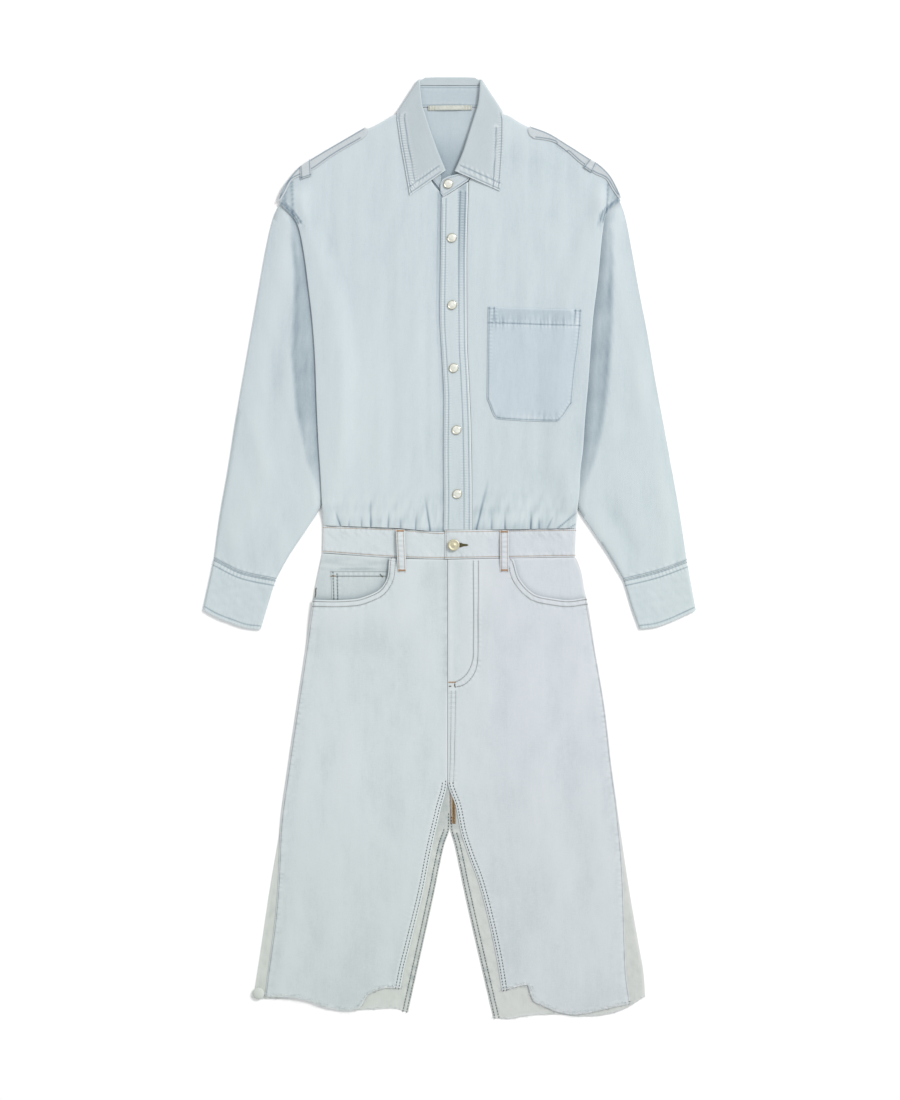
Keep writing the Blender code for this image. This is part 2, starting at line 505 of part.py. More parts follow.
def collar_fold(side):
    # The cuts round the side of the neck all hold the fold's axis, so they can't meet each other
    top, foot = np.array(FOLD_TOP), np.array(FOLD_FOOT)
    along = (foot - top) / np.linalg.norm(foot - top)
    outward = np.array([-along[1], along[0], 0])
    outward /= np.linalg.norm(outward)
    upward = np.cross(outward, along)
    upward *= np.sign(upward[2])
    flip = np.array([side, 1, 1])
    sections = []
    for angle in FOLD_ANGLES:
        way = outward * np.sin(np.radians(angle)) - upward * np.cos(np.radians(angle))
        part = angle / 180
        roll_at, edge_at, edge_off, lip = np.array(FOLD_REAR) * (1 - part) + np.array(FOLD_FRONT) * part
        edge_at -= 2.0 * np.sin(np.pi * part)
        radius = REAR_ROLL + (FRONT_ROLL - REAR_ROLL) * part
        roll = top + along * roll_at + way * (FOLD_INNER + radius)
        edge = top + along * edge_at + way * (edge_off - radius)
        seam = top + along * FOLD_SEAM_AT + way * FOLD_SEAM_INNER
        sections.append(collar_section(roll * flip, edge * flip, -way * flip, radius, lip, seam * flip))
    return sections


def collar_path():
    # All cuts of the collar, from its left front end round the back to its right one
    def cut(s, side, up, radius):
        seam_height = back_under(s.sx, s.sy) if up > 0 else front_under(s.sx, s.sy)
        seam = (s.sx * side, s.sy, float(seam_height) + CLOTH / 2)
        roll, edge = (s.tx * side, s.ty, s.tz), (s.bx * side, s.by, s.bz)
        return collar_section(roll, edge, (0, 0, up), radius, s.lip, seam)

    rear_left = [cut(s, -1, 1, REAR_ROLL) for s in COLLAR_REAR[:0:-1]]
    rear_right = [cut(s, 1, 1, REAR_ROLL) for s in COLLAR_REAR]
    front_left = [cut(s, 1, -1, FRONT_ROLL) for s in COLLAR_FRONT_LEFT]
    front_right = [cut(s, 1, -1, FRONT_ROLL) for s in COLLAR_FRONT_RIGHT]
    left = front_left[::-1] + collar_fold(-1)[::-1] + rear_left
    return left + rear_right + collar_fold(1) + front_right


def collar_leaf(path):
    half = COLLAR_WALL / 2
    walls = []
    for offset in (half, -half):
        grid = []
        for roll, fall, length, up, radius, lip, _ in path:
            bend = radius + offset
            section = [(lip, bend), (lip * 0.45, bend)]
            section += [(-bend * np.sin(a), bend * np.cos(a)) for a in np.radians([0, 45, 90, 135, 180])]
            section += [(length * part, -bend) for part in (0.12, 0.35, 0.65, 1.0)]
            line = [roll + a * fall + b * up for a, b in section]
            if up[2] < -0.9:
                for point in line[7:]:
                    rest = float(front_top(point[0], point[1])) + STACK + half
                    point[2] = max(point[2], rest + offset)
            grid.append(line)
        walls.append(np.array(grid))
    closed_wall("collar_leaf", walls[0], walls[1], SHIRT)


def collar_stand(path):
    cuts = []
    for roll, fall, _, up, radius, lip, seam in path:
        cuts.append((roll + (lip + 2 * SEAM) * fall + radius * up, seam, up))
    # The right end follows the neck seam past the middle and ends in the tab
    seam_height = placket_under(np.zeros(1), np.zeros(1))[0] + CLOTH / 2 + 0.1
    for top, foot in TAB:
        cuts.append((np.array(top, float), np.array([*foot, seam_height]), np.array([0, 0, -1.0])))
    walls = []
    for offset in (CLOTH / 2, -CLOTH / 2):
        grid = []
        for start, end, up in cuts:
            run = (end - start) / np.linalg.norm(end - start)
            normal = up - run * (up @ run)
            normal /= np.linalg.norm(normal)
            grid.append([start + (end - start) * part + normal * offset for part in (0, 0.35, 0.7, 1)])
        walls.append(np.array(grid))
    closed_wall("collar_stand", walls[0], walls[1], SHIRT)


def hanger_loop():
    # Cream tape over the neck seam, sewn at both ends and a little free between them
    plan = patch([(-28.6, 574.6), (28.6, 575.2)], [(-28.6, 567.8), (28.6, 568.6)],
                 [(-28.6, 574.6), (-28.6, 567.8)], [(28.6, 575.2), (28.6, 568.6)], even(9), even(3))
    rise = lambda x, y: COLLAR_STACK + CLOTH + STACK + 0.9 * (1 - ramp(np.abs(x), 6, 24))
    panel("hanger_loop", plan, rise, CLOTH, TAPE)


def epaulette(name, outer, inner, shoulder):
    # A strap along the shoulder line, running out over the shoulder's edge
    plan = patch([outer[0], inner[0]], [outer[-1], inner[-1]], outer, inner, even(4), even(13))

    def under(x, y):
        line = np.array(sorted(shoulder), float)
        return front_top(x, np.minimum(y, np.interp(x, line[:, 0], line[:, 1]))) + STACK

    panel(name, plan, under, CLOTH, SHIRT)
    return under


def strap_carrier(name, corners, under):
    # A small loop that the strap passes under
    (ax, ay), (bx, by), (cx, cy), (dx, dy) = corners
    plan = patch([(ax, ay), (bx, by)], [(dx, dy), (cx, cy)], [(ax, ay), (dx, dy)], [(bx, by), (cx, cy)],
                 even(4), even(7))
    panel(name, plan, lambda x, y: under(x, y) + CLOTH + SEAM, CLOTH, SHIRT)


def shoulder_straps():
    under = epaulette("epaulette_left", EPAULETTE_LEFT_OUTER, EPAULETTE_LEFT_INNER, SHOULDER_LEFT)
    corners = [(-195.4, 495.2), (-181.4, 504.4), (-180.2, 483.2), (-194, 478.6)]
    strap_carrier("strap_carrier_left", corners, under)
    under = epaulette("epaulette_right", EPAULETTE_RIGHT_OUTER, EPAULETTE_RIGHT_INNER, SHOULDER_RIGHT)
    corners = [(181.2, 505.2), (190.6, 499.6), (184.6, 487.4), (173.2, 494.8)]
    strap_carrier("strap_carrier_right", corners, under)


def sleeve_loft(x, y):
    # Full outside the body's edge, and pressed flat where the body lies over it
    out = np.maximum(table_x(SIDE_LEFT, y) - x, x - table_x(SIDE_RIGHT, y))
    hanging = np.where(y < 25, 60, out)
    rim = np.minimum(np.abs(x - table_x(SLEEVE_OUTER_LEFT, y)), np.abs(x - table_x(SLEEVE_OUTER_RIGHT, y)))
    full = 1.9 * ramp(rim, 0, 26) + folds(SLEEVE_FOLDS, x, y)
    near_cuff = 0.8 + 0.2 * ramp(y, -40, 20)
    return np.clip(full * near_cuff, 0, MOST_LOFT) * ramp(hanging, 8, 42) * (1 - ramp(y, 425, 446))


def sleeves():
    sides = [
        ("left", ARMHOLE_LEFT, CUFF_SEAM_LEFT, SLEEVE_OUTER_LEFT, SLEEVE_INNER_LEFT,
         CUFF_EDGE_LEFT, CUFF_INNER_LEFT),
        ("right", ARMHOLE_RIGHT, CUFF_SEAM_RIGHT, SLEEVE_OUTER_RIGHT, SLEEVE_INNER_RIGHT,
         CUFF_EDGE_RIGHT, CUFF_INNER_RIGHT),
    ]
    for side, armhole, seam, outer, inner, edge, cuff_inner in sides:
        plan = patch(armhole, seam, outer, inner, TUBE_COLUMNS, SLEEVE_ROWS)
        tube(f"sleeve_{side}", plan, sleeve_loft, CLOTH, SHIRT)
        top = [(x, y - 0.45) for x, y in seam]
        cuff_outer = [top[0], edge[0]]
        cuff_inner = [top[-1]] + cuff_inner[1:]
        plan = patch(top, edge, cuff_outer, cuff_inner, TUBE_COLUMNS, even(4))
        tube(f"cuff_{side}", plan, lambda x, y: 0.5 + 0 * x, CUFF_WALL, SHIRT)


def trim():
    placket_top = placket_under(np.zeros(1), np.zeros(1))[0] + PLACKET_WALL
    dome = [(0, 0), (SNAP_RADIUS, 0), (SNAP_RADIUS, 0.9), (SNAP_RADIUS - 1, 1.6), (3.4, 2.3),
            (0, SNAP_HEIGHT)]
    for number, (x, y) in enumerate(SNAPS, 1):
        height = placket_top + SEAM + (TAB_RISE if number == 1 else 0)
        turned(f"snap_{number}", dome, (x, y, height), 18, PEARL)
    rivet = [(0, 0), (3.2, 0), (3.2, 1.2), (BUTTON_RADIUS, 1.7), (BUTTON_RADIUS, 3.2),
             (BUTTON_RADIUS - 0.9, 4.0), (0, BUTTON_HEIGHT)]
    height = float(band_under(BUTTON[0], BUTTON[1])) + BAND + SEAM
    turned("jeans_button", rivet, (*BUTTON, height), 24, BRASS)


def side_edges(top, foot):
    return [top[0], foot[0]], [top[-1], foot[-1]]


def waistband():
    left, right = side_edges(BAND_TOP_BACK, BAND_FOOT_BACK)
    plan = patch(BAND_TOP_BACK, BAND_FOOT_BACK, left, right, even(13), even(3))
    panel("waistband_back", plan, lambda x, y: 0 * x, BAND, JEANS)
    left, right = side_edges(BAND_TOP_LEFT, BAND_FOOT_LEFT)
    plan = patch(BAND_TOP_LEFT, BAND_FOOT_LEFT, left, right, even(12), even(4))
    panel("waistband_front_left", plan, lambda x, y: BAND + SEAM + 0 * x, BAND, JEANS)
    left, right = side_edges(BAND_TOP_RIGHT, BAND_FOOT_RIGHT)
    plan = patch(BAND_TOP_RIGHT, BAND_FOOT_RIGHT, left, right, even(15), even(4))
    panel("waistband_front_right", plan, band_under, BAND, JEANS)


def belt_loops():
    places = [("left", -70.2, -67.8, 23.4, -31.2), ("right", 65, 65.4, 22.2, -31.0)]
    for side, top_x, foot_x, top_y, foot_y in places:
        left = [(top_x, top_y), (foot_x, foot_y)]
        right = [(top_x + LOOP_WIDTH, top_y), (foot_x + LOOP_WIDTH, foot_y)]
        plan = patch([left[0], right[0]], [left[1], right[1]], left, right, even(3), even(10))

        def under(x, y):
            on_band = band_under(x, y) if side == "right" else BAND + SEAM + 0 * x
            below = skirt_under(x, y) + CLOTH
            ends = np.minimum(top_y - y, y - foot_y)
            return np.maximum(on_band + BAND, below) + STACK + LOOP_RISE * ramp(ends, 2, 14)

        panel(f"belt_loop_{side}", plan, under, CLOTH, JEANS)


def skirt():
    plan = patch(POCKET_MOUTH_LEFT, HEM_FRONT_LEFT, FRONT_SIDE_LEFT, SLIT_LEFT, even(16), SKIRT_ROWS)
    panel("skirt_front_left", plan, skirt_under, CLOTH, JEANS)
    plan = patch(POCKET_MOUTH_RIGHT, HEM_FRONT_RIGHT, SLIT_RIGHT, FRONT_SIDE_RIGHT, even(16), SKIRT_ROWS)
    panel("skirt_front_right", plan, skirt_under, CLOTH, JEANS)
    top = [(-165.2, -7.1), (-3, -14.5), (-0.2, -14.5)]
    centre = [(-0.2, -14.5), (-0.2, BACK_SLIT_TOP), (-7.8, -388), (-20.8, -450.5), (-54.6, -604.5)]
    plan = patch(top, HEM_BACK_LEFT, BACK_SIDE_LEFT, centre, even(9), even(13))
    panel("skirt_back_left", plan, lambda x, y: 0 * x, CLOTH, JEANS)
    top = [(0.2, -14.5), (3, -14.5), (162.6, -12.6)]
    centre = [(0.2, -14.5), (0.2, BACK_SLIT_TOP), (6.5, -388), (19.5, -450.5), (56.7, -612.5)]
    plan = patch(top, HEM_BACK_RIGHT, centre, BACK_SIDE_RIGHT, even(9), even(13))
    panel("skirt_back_right", plan, lambda x, y: 0 * x, CLOTH, JEANS)


def pockets():
    side = [(-165.6, -7.6), (-171.6, -36), (-175.5, -55), (-179, -79)]
    inner = [(-73, -13.8), (-73, -79)]
    plan = patch([side[0], inner[0]], [side[-1], inner[-1]], side, inner, even(9), even(6))
    panel("pocket_facing_left", plan, lambda x, y: CLOTH + SEAM + 0 * x, CLOTH, POCKET)
    side = [(162.2, -12.8), (171.2, -36), (174.2, -55), (179, -79)]
    inner = [(77, -13.8), (77, -79)]
    plan = patch([inner[0], side[0]], [inner[-1], side[-1]], inner, side, even(9), even(6))
    panel("pocket_facing_right", plan, lambda x, y: CLOTH + SEAM + 0 * x, CLOTH, JEANS)
    side, inner = [(-154.5, -30), (-153, -79)], [(-84, -30), (-84, -79)]
    plan = patch([side[0], inner[0]], [side[-1], inner[-1]], side, inner, even(6), even(5))
    panel("coin_pocket", plan, lambda x, y: 2 * (CLOTH + SEAM) + 0 * x, CLOTH, JEANS)


def main():
    for old in list(bpy.data.objects):
        bpy.data.objects.remove(old, do_unlink=True)
    bodice()
    placket()
    chest_pocket()
    path = collar_path()
    collar_leaf(path)
    collar_stand(path)
    hanger_loop()
    shoulder_straps()
    sleeves()
    waistband()
    belt_loops()
    skirt()
    pockets()
    trim()


main()
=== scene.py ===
# Denim shirt dress laid flat: cloth, seams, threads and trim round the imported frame.
# +X is the viewer's right, +Y is towards the collar, +Z is up; sizes are millimetres until a mesh is made.
from functools import partial

import bpy
import numpy as np
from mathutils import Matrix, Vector
from mathutils.bvhtree import BVHTree


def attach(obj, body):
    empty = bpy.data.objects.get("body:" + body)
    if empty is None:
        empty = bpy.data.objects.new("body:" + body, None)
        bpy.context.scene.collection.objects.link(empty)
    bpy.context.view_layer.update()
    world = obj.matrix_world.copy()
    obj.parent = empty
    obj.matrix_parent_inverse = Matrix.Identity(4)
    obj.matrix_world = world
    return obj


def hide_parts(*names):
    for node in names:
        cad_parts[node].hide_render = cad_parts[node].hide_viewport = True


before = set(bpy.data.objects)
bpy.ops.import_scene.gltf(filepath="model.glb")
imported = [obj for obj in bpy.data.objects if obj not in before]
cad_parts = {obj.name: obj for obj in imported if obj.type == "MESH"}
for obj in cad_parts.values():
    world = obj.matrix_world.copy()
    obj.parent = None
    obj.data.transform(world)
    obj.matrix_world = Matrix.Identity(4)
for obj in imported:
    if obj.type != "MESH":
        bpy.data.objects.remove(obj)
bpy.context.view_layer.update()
mm = 0.001

cloth = {"wall": 1.0, "band": 1.4, "placket": 1.2, "collar": 1.4, "cuff": 1.4, "seam": 0.35, "stack": 0.4}
sleeveStack = 2 * cloth["wall"] + cloth["seam"] + cloth["stack"]  # sleeves lie double under the body
collarStack = cloth["collar"] + cloth["stack"]  # the rear collar leaf lies under the back neck
lift = {"front": 1.5, "skirt": 1.1, "most": 4.2, "fade": 15.0, "placket": 3.1}
threadLift = {"sewn": 0.10, "tacked": 0.22, "overlock": 0.30, "frayed": 0.10}


# Outlines in plan, as (x, y) from the top down or from left to right; left and right are the viewer's
shoulderLeft = [(-221.5, 447.5), (-214.5, 466), (-205, 480.5), (-194, 492.5), (-179.5, 502), (-119, 540.5),
                (-104, 545.6), (-88.4, 553.4), (-76, 560.8), (-69, 563.2), (-62.5, 564.6)]
neckLeft = [(-62.5, 564.6), (-61.5, 557), (-56, 543), (-46, 518), (-31.5, 489), (-12, 462.3)]
shoulderRight = [(62.5, 564.6), (69, 563.2), (76, 561), (91, 552), (106, 544.5), (126, 537), (152, 521),
                 (183, 501.5), (190, 497.5), (206, 482), (217.5, 461), (221.5, 450.5)]
neckRight = [(24.6, 476.4), (34.5, 494), (46.5, 518), (56, 543), (61.5, 557), (62.5, 564.6)]
neckBack = [(-58, 568.6), (-50, 571.2), (0, 572.6), (50, 571.2), (58, 568.6)]
sideLeft = [(-221.5, 447.5), (-198.5, 421), (-190, 383), (-185.3, 348), (-179, 294.5), (-175.2, 240),
            (-173.4, 186.6), (-170.8, 132), (-168, 89), (-166.4, 58), (-164.3, 28.6)]
sideRight = [(221.5, 450.5), (202.6, 433), (199, 415), (192.4, 349), (185.9, 297), (179.4, 210), (175.5, 166),
             (172.9, 127), (169.5, 99.5), (168.2, 73.5), (166, 53), (163.4, 25)]
waistLeft = [(-164.3, 28.6), (-71.5, 25.3), (-10, 20.8), (14, 20.8)]
waistRight = [(28.8, 22.9), (163.4, 25)]
waistBack = [(-164.3, 28.6), (0, 22.8), (163.4, 25)]
placketLeft = [(-10.9, 453.8), (-12, 374), (-13, 302), (-10, 244), (-7.6, 192), (-8.2, 127), (-7.6, 62),
               (-8.2, 22.9)]
placketRight = [(24, 475.4), (21.6, 374), (22.1, 270), (24.6, 218), (27.2, 153), (28.4, 62), (28.4, 22.9)]
armholeLeft = [(-220.4, 448.4), (-197.6, 422.0), (-176, 372), (-156, 305), (-143, 222)]
armholeRight = [(220.6, 451.4), (201.8, 433.9), (180, 378), (159, 305), (146, 222)]
sleeveOuterLeft = [(-220.4, 448.4), (-228.6, 432), (-238, 393), (-248.3, 335), (-258.7, 276), (-269, 218),
                   (-279.5, 159), (-288.6, 101), (-299, 42), (-306.8, -14.7)]
sleeveInnerLeft = [(-143, 222), (-143.5, 190), (-146, 150), (-150.5, 110), (-158.5, 78), (-166.5, 56),
                   (-187, 23), (-210.5, -12.5), (-226.6, -41.8)]
sleeveOuterRight = [(220.6, 451.4), (227.5, 432), (235.3, 393), (245.7, 335), (257.2, 276), (267, 218),
                    (278, 159), (288.6, 101), (299, 42), (308, -17.3)]
sleeveInnerRight = [(146, 222), (146.5, 190), (148.5, 150), (152, 110), (158.5, 76), (166, 52), (184.6, 23.4),
                    (208, -12.4), (225.5, -42)]
cuffSeamLeft = [(-306.8, -14.7), (-268.3, -33), (-226.6, -41.8)]
cuffSeamRight = [(308, -17.3), (268, -31.5), (225.5, -42)]
cuffEdgeLeft = [(-321.2, -80.5), (-305.5, -89.5), (-284, -98), (-262, -105), (-246.5, -106.5)]
cuffEdgeRight = [(319.8, -81.5), (305, -88.5), (286, -97), (266, -103.5), (246.5, -106)]
cuffInnerLeft = [(-227, -42.4), (-230, -52), (-246.5, -106.5)]
cuffInnerRight = [(226.2, -42.6), (230.5, -58), (237, -80), (246.5, -106)]
strapOuterLeft = [(-110.5, 546.2), (-180.7, 504.8), (-195.7, 494.9), (-207.2, 482.2), (-217.1, 467.2),
                  (-223.6, 450)]
strapInnerLeft = [(-113.5, 531.5), (-150.8, 510), (-180.7, 489.5), (-195, 483), (-205.4, 477.4), (-214.3, 461),
                  (-219.6, 451.4)]
strapOuterRight = [(104, 547.4), (126.1, 539.4), (152.8, 523.6), (184.3, 503.6), (191.1, 499.7), (207.5, 484.1),
                   (219.2, 462.2), (222.3, 454.5)]
strapInnerRight = [(108.5, 531.5), (132, 528), (171, 498.5), (188, 486), (202.5, 479.1), (210.6, 466.1),
                   (218.3, 454.6)]
bandTopLeft = [(-164.5, 28), (-71.5, 24.7), (-10, 20.2), (26, 20.2)]
bandFootLeft = [(-165.1, -6.6), (-70.2, -13.3), (-10.4, -15), (26, -15)]
bandTopRight = [(-6.5, 22.2), (163.6, 24.4)]
bandFootRight = [(-6.5, -15), (162.5, -12.1)]
bandTopBack = [(-164, 27.5), (0, 22), (163.2, 24)]
bandFootBack = [(-164.6, -6.8), (0, -14), (162.3, -11.9)]
hipLeft = [(-165.2, -7.1), (-167.7, -16), (-171.6, -36), (-175.5, -55), (-179.4, -75), (-187.2, -133),
           (-199, -211), (-210.6, -289), (-221, -367)]
hipRight = [(162.6, -12.6), (165.1, -16.3), (171.6, -36), (174.6, -55), (179.4, -75), (188.5, -133),
            (201.5, -211), (210.6, -289), (219, -350)]
frontSideLeft = [(-178, -67.8), (-187.2, -133), (-199, -211), (-210.6, -289), (-220.6, -367), (-223.6, -436),
                 (-227.5, -483), (-236.6, -551), (-240.8, -584)]
frontSideRight = [(177, -65.2), (188.5, -133), (201.5, -211), (210.6, -289), (217.5, -340), (224.9, -427),
                  (227.5, -510), (229.1, -551), (234.5, -593)]
backSideLeft = hipLeft + [(-234, -445), (-245.7, -523), (-255.5, -586)]
backSideRight = hipRight + [(221.4, -367), (233, -445), (246.5, -523), (251.5, -552), (254, -584)]
mouthLeft = [(-178, -67.8), (-151, -68.4), (-123.5, -67), (-105.3, -61.8), (-90.5, -53.6), (-81, -36),
             (-79.3, -17.6), (-78.6, -13.7), (-70.2, -14.4), (-3.4, -15.7)]
mouthRight = [(-2.9, -15.7), (81, -14.2), (83, -17), (88.4, -36), (98.4, -51), (113, -61.8), (131.3, -65.7),
              (153.4, -68.3), (177, -65.2)]
slitLeft = [(-3.4, -15.7), (-3.4, -303), (-12, -341), (-24.5, -396), (-34, -445), (-51.5, -517),
            (-59.5, -549), (-64.4, -574)]
slitRight = [(-2.9, -15.7), (-2.9, -303), (8, -338), (14.3, -370), (24, -400), (37, -435), (50, -484), (61, -536),
             (67.6, -576.5)]
hemFrontLeft = [(-240.8, -584), (-205.4, -585.7), (-184.6, -589.6), (-160, -598.7), (-134.4, -602.6),
                (-122, -601.3), (-114.4, -594.8), (-107.9, -583), (-100, -578), (-79.3, -572.7), (-64.4, -574)]
hemFrontRight = [(67.6, -576.5), (89, -571), (100, -569), (104.8, -581), (109, -590), (121, -596), (141, -604),
                 (160, -607.5), (175.5, -606), (199, -601), (234.5, -593)]
hemBackLeft = [(-255.5, -586), (-232, -587.2), (-205, -586), (-180, -588.5), (-150, -598), (-128, -602),
               (-110, -601.5), (-91, -600.5), (-75, -599.5), (-54.6, -604.5)]
hemBackRight = [(56.7, -612.5), (77, -613.5), (94, -610.5), (117, -608), (143, -607.5), (166, -610),
                (185, -610), (205, -607.5), (224, -602), (254, -584)]
backSlitLeft = [(-0.2, -14.5), (-0.2, -362), (-7.8, -388), (-20.8, -450.5), (-54.6, -604.5)]
backSlitRight = [(0.2, -14.5), (0.2, -362), (6.5, -388), (19.5, -450.5), (56.7, -612.5)]

# Waist gathers (place, lean, length, width, depth) and soft folds (top x y, foot x y, width, height)
gatherRows = [(-141, -0.35, 18, 5, 1.7), (-132, 0.1, 9, 4, 1.2), (-115, 0, 12, 4, 1.4), (-103, 0, 26, 4, 1.7),
              (-80.6, 0.05, 20, 5, 1.3), (-64.4, 0, 12, 5, 1.1), (-44.8, 0.05, 14, 5, 1.2),
              (-26, -0.15, 32, 4, 1.6), (34.5, 0.24, 45, 5, 1.7), (54, 0, 16, 5, 0.9), (71.5, 0, 16, 4, 1.4),
              (104.8, 0.05, 16, 4, 1.8), (115.7, 0, 12, 4, 1.3), (126, 0.5, 14, 4, 1.2), (139, 1.2, 20, 5, 1.7),
              (154, 1.4, 12, 4, 1.5)]
bodiceFolds = [(-30, 350, -30, 70, 7, -0.7), (-58, 330, -52, 120, 14, 0.5), (37, 170, 38, 80, 6, -0.7),
               (50, 160, 43, 86, 6, -0.8), (106, 104, 86, 52, 9, -0.9), (102, 92, 108, 44, 7, -0.6),
               (-150, 330, -142, 90, 16, 0.6), (-196, 465, -186, 408, 8, 1.0), (196, 470, 190, 405, 8, 1.0),
               (120, 420, 150, 350, 16, 0.5), (-110, 430, -140, 350, 16, 0.5)]
sleeveFolds = [(-243, 400, -282, 150, 15, 0.9), (-212, 330, -240, 150, 13, -0.8), (-232, 130, -266, 10, 12, 0.9),
               (-280, 110, -292, 0, 10, 0.6), (241, 400, 276, 150, 15, 0.9), (214, 320, 240, 150, 13, -0.8),
               (222, 120, 256, 10, 12, 0.9), (276, 120, 290, 0, 10, 0.6), (-205, 60, -250, -20, 8, -0.6),
               (205, 60, 250, -20, 8, -0.6)]
skirtFolds = [(-120, -150, -150, -530, 26, 0.9), (-62, -210, -100, -500, 22, -0.6), (100, -160, 142, -530, 26, 0.9),
              (56, -230, 96, -510, 22, -0.6), (-190, -260, -205, -520, 18, 0.5), (188, -260, 204, -540, 18, 0.5)]


def ramp(value, low, high):
    t = np.clip((value - low) / (high - low), 0, 1)
    return t * t * (3 - 2 * t)


def tableX(outline, y):  # x of a side outline at a height y
    points = np.array(outline[::-1], float)
    return np.interp(y, points[:, 1], points[:, 0])


def softFolds(rows, x, y):
    total = 0 * x
    for topX, topY, footX, footY, width, height in rows:
        runX, runY = footX - topX, footY - topY
        length = np.hypot(runX, runY)
        along = ((x - topX) * runX + (y - topY) * runY) / length**2
        off = ((x - topX) * runY - (y - topY) * runX) / length
        total = total + height * np.exp(-((off / width) ** 2) - ((along - 0.5) / 0.45) ** 4)
    return total


def waves(x, y, sizeX, sizeY, seed, count=14):  # smooth uneven waves, about -2 to 2
    draw = np.random.default_rng(seed)
    total = 0 * x
    for _ in range(count):
        fx, fy = draw.normal(size=2) * 0.5 / np.array([sizeX, sizeY])
        total = total + np.cos(2 * np.pi * (fx * x + fy * y) + draw.uniform(0, 6.28))
    return total / np.sqrt(count / 2)


def gathers(x, y, waist):  # low puffs along the waist seam between the gathers' troughs
    up = np.maximum(y - waist, 0)
    puff = 2.2 * np.exp(-up / 40)
    for at, lean, length, width, depth in gatherRows:
        off = x - at - lean * up
        puff = puff - 0.42 * depth * np.exp(-((off / (width + 0.12 * up)) ** 2) - up / (1.5 * length))
        puff = puff - 0.34 * depth * np.exp(-((off / (1.1 + 0.03 * up)) ** 2) - (up / (1.3 * length)) ** 2)
    fine = waves(x - 0.1 * up, 0 * y + up * 0.25, 7, 14, 31) + 0.7 * waves(x, y, 11, 60, 32)
    return puff + 0.12 * fine * np.exp(-up / 30)


def creaseShade(x, y, waist):  # painted shade in the gathers' sharp folds
    up, tone = np.maximum(y - waist, 0), 0 * x
    for at, lean, length, width, depth in gatherRows:
        off = (x - at - lean * up) / (0.85 + 0.02 * up)
        tone = tone - 0.30 * depth * np.exp(-(off**2)) * (1 - ramp(up, 0.1 * length, 1.7 * length))
    return tone


def underBack(x, y):
    left = ramp(tableX(armholeLeft[1:] + sleeveInnerLeft[1:], y) - x, -34, -3)
    right = ramp(x - tableX(armholeRight[1:] + sleeveInnerRight[1:], y), -34, -3)
    reach = ramp(y, 28, 56) * (1 - ramp(y, 450, 478))
    collar = ramp(y, 500, 547) * (1 - ramp(np.abs(x), 76, 150))
    return np.maximum(sleeveStack * np.maximum(left, right) * reach, collarStack * collar)


def underFront(x, y):
    side = np.minimum(x - tableX(sideLeft, y), tableX(sideRight, y) - x)
    shoulder = np.interp(np.abs(x), [60, 110, 180, 205, 222], [568, 544, 502, 481, 448]) - y
    loft = lift["front"] * (1 - np.exp(-np.maximum(side, 0) / lift["fade"]))
    loft = loft * (1 - np.exp(-np.maximum(shoulder, 0) / lift["fade"]))
    loft = loft + softFolds(bodiceFolds, x, y) * ramp(side, 0, 22)
    nearWaist = 1 - ramp(y, 30, 150)
    puffed = 0.5 + gathers(x, y, 24) * ramp(side, -4, 10)
    loft = loft + (np.maximum(puffed, 0.25) - 0.6 * loft) * nearWaist
    calm = ramp(side, 0, 30) * ramp(shoulder, 0, 25)
    loft = loft + calm * (0.26 * waves(x, y, 40, 120, 3) + 0.05 * waves(x, y, 14, 44, 4))
    loft = loft + (0.4 - loft) * ramp(x, -34, -15) * (1 - ramp(x, 15, 18))
    loft = loft + (1.65 - loft) * (1 - ramp(x, 30, 60)) * ramp(x, 15, 18)
    return underBack(x, y) + cloth["wall"] + cloth["seam"] + np.clip(loft, 0.15, lift["most"])


def topFront(x, y):
    return underFront(x, y) + cloth["wall"]


def underPlacket(x, y):
    return lift["placket"] + 0 * x


def underBandRight(x, y):
    return cloth["band"] + cloth["seam"] + (cloth["band"] + cloth["seam"]) * (1 - ramp(x, 28, 75))


def pocketLift(x, y):
    left = (1 - ramp(x, -70, -25)) * ramp(y, -135, -82)
    right = ramp(x, 30, 76) * ramp(y, -135, -82)
    return (2 * cloth["wall"] + 2 * cloth["seam"]) * left + (cloth["wall"] + cloth["seam"]) * right


def underSkirt(x, y):
    side = np.minimum(x - tableX(frontSideLeft, y), tableX(frontSideRight, y) - x)
    slit = np.where(x < 2, tableX(slitLeft, y) - x, x - tableX(slitRight, y))
    openSlit = 1 - ramp(y, -330, -290)
    loft = lift["skirt"] * (1 - np.exp(-np.maximum(side, 0) / 18))
    loft = loft * (1 - openSlit * np.exp(-np.maximum(slit, 0) / 25))
    loft = loft + softFolds(skirtFolds, x, y) * ramp(side, 0, 25) * ramp(slit, 0, 25)
    calm = ramp(side, 0, 20) * ramp(slit, 0, 30)
    loft = loft + calm * (0.26 * waves(x, y, 60, 150, 11) + 0.05 * waves(x, y, 16, 30, 12))
    fly = 0.8 * ramp(x, -3.2, -2.9) * (1 - ramp(x, 20, 50)) * ramp(y, -210, -170)
    return cloth["wall"] + cloth["seam"] + np.clip(loft, 0, lift["most"]) + pocketLift(x, y) + fly


def topSkirt(x, y):
    return underSkirt(x, y) + cloth["wall"]


def washAndShade(places, x, y):  # broad patches, paler (plus) or darker (minus): some are wash, the bodice's by the placket and the body's edge painted shade
    total = 0 * x
    for atX, atY, wide, high, amount in places:
        total = total + amount * np.exp(-(((x - atX) / wide) ** 2) - ((y - atY) / high) ** 2)
    return total


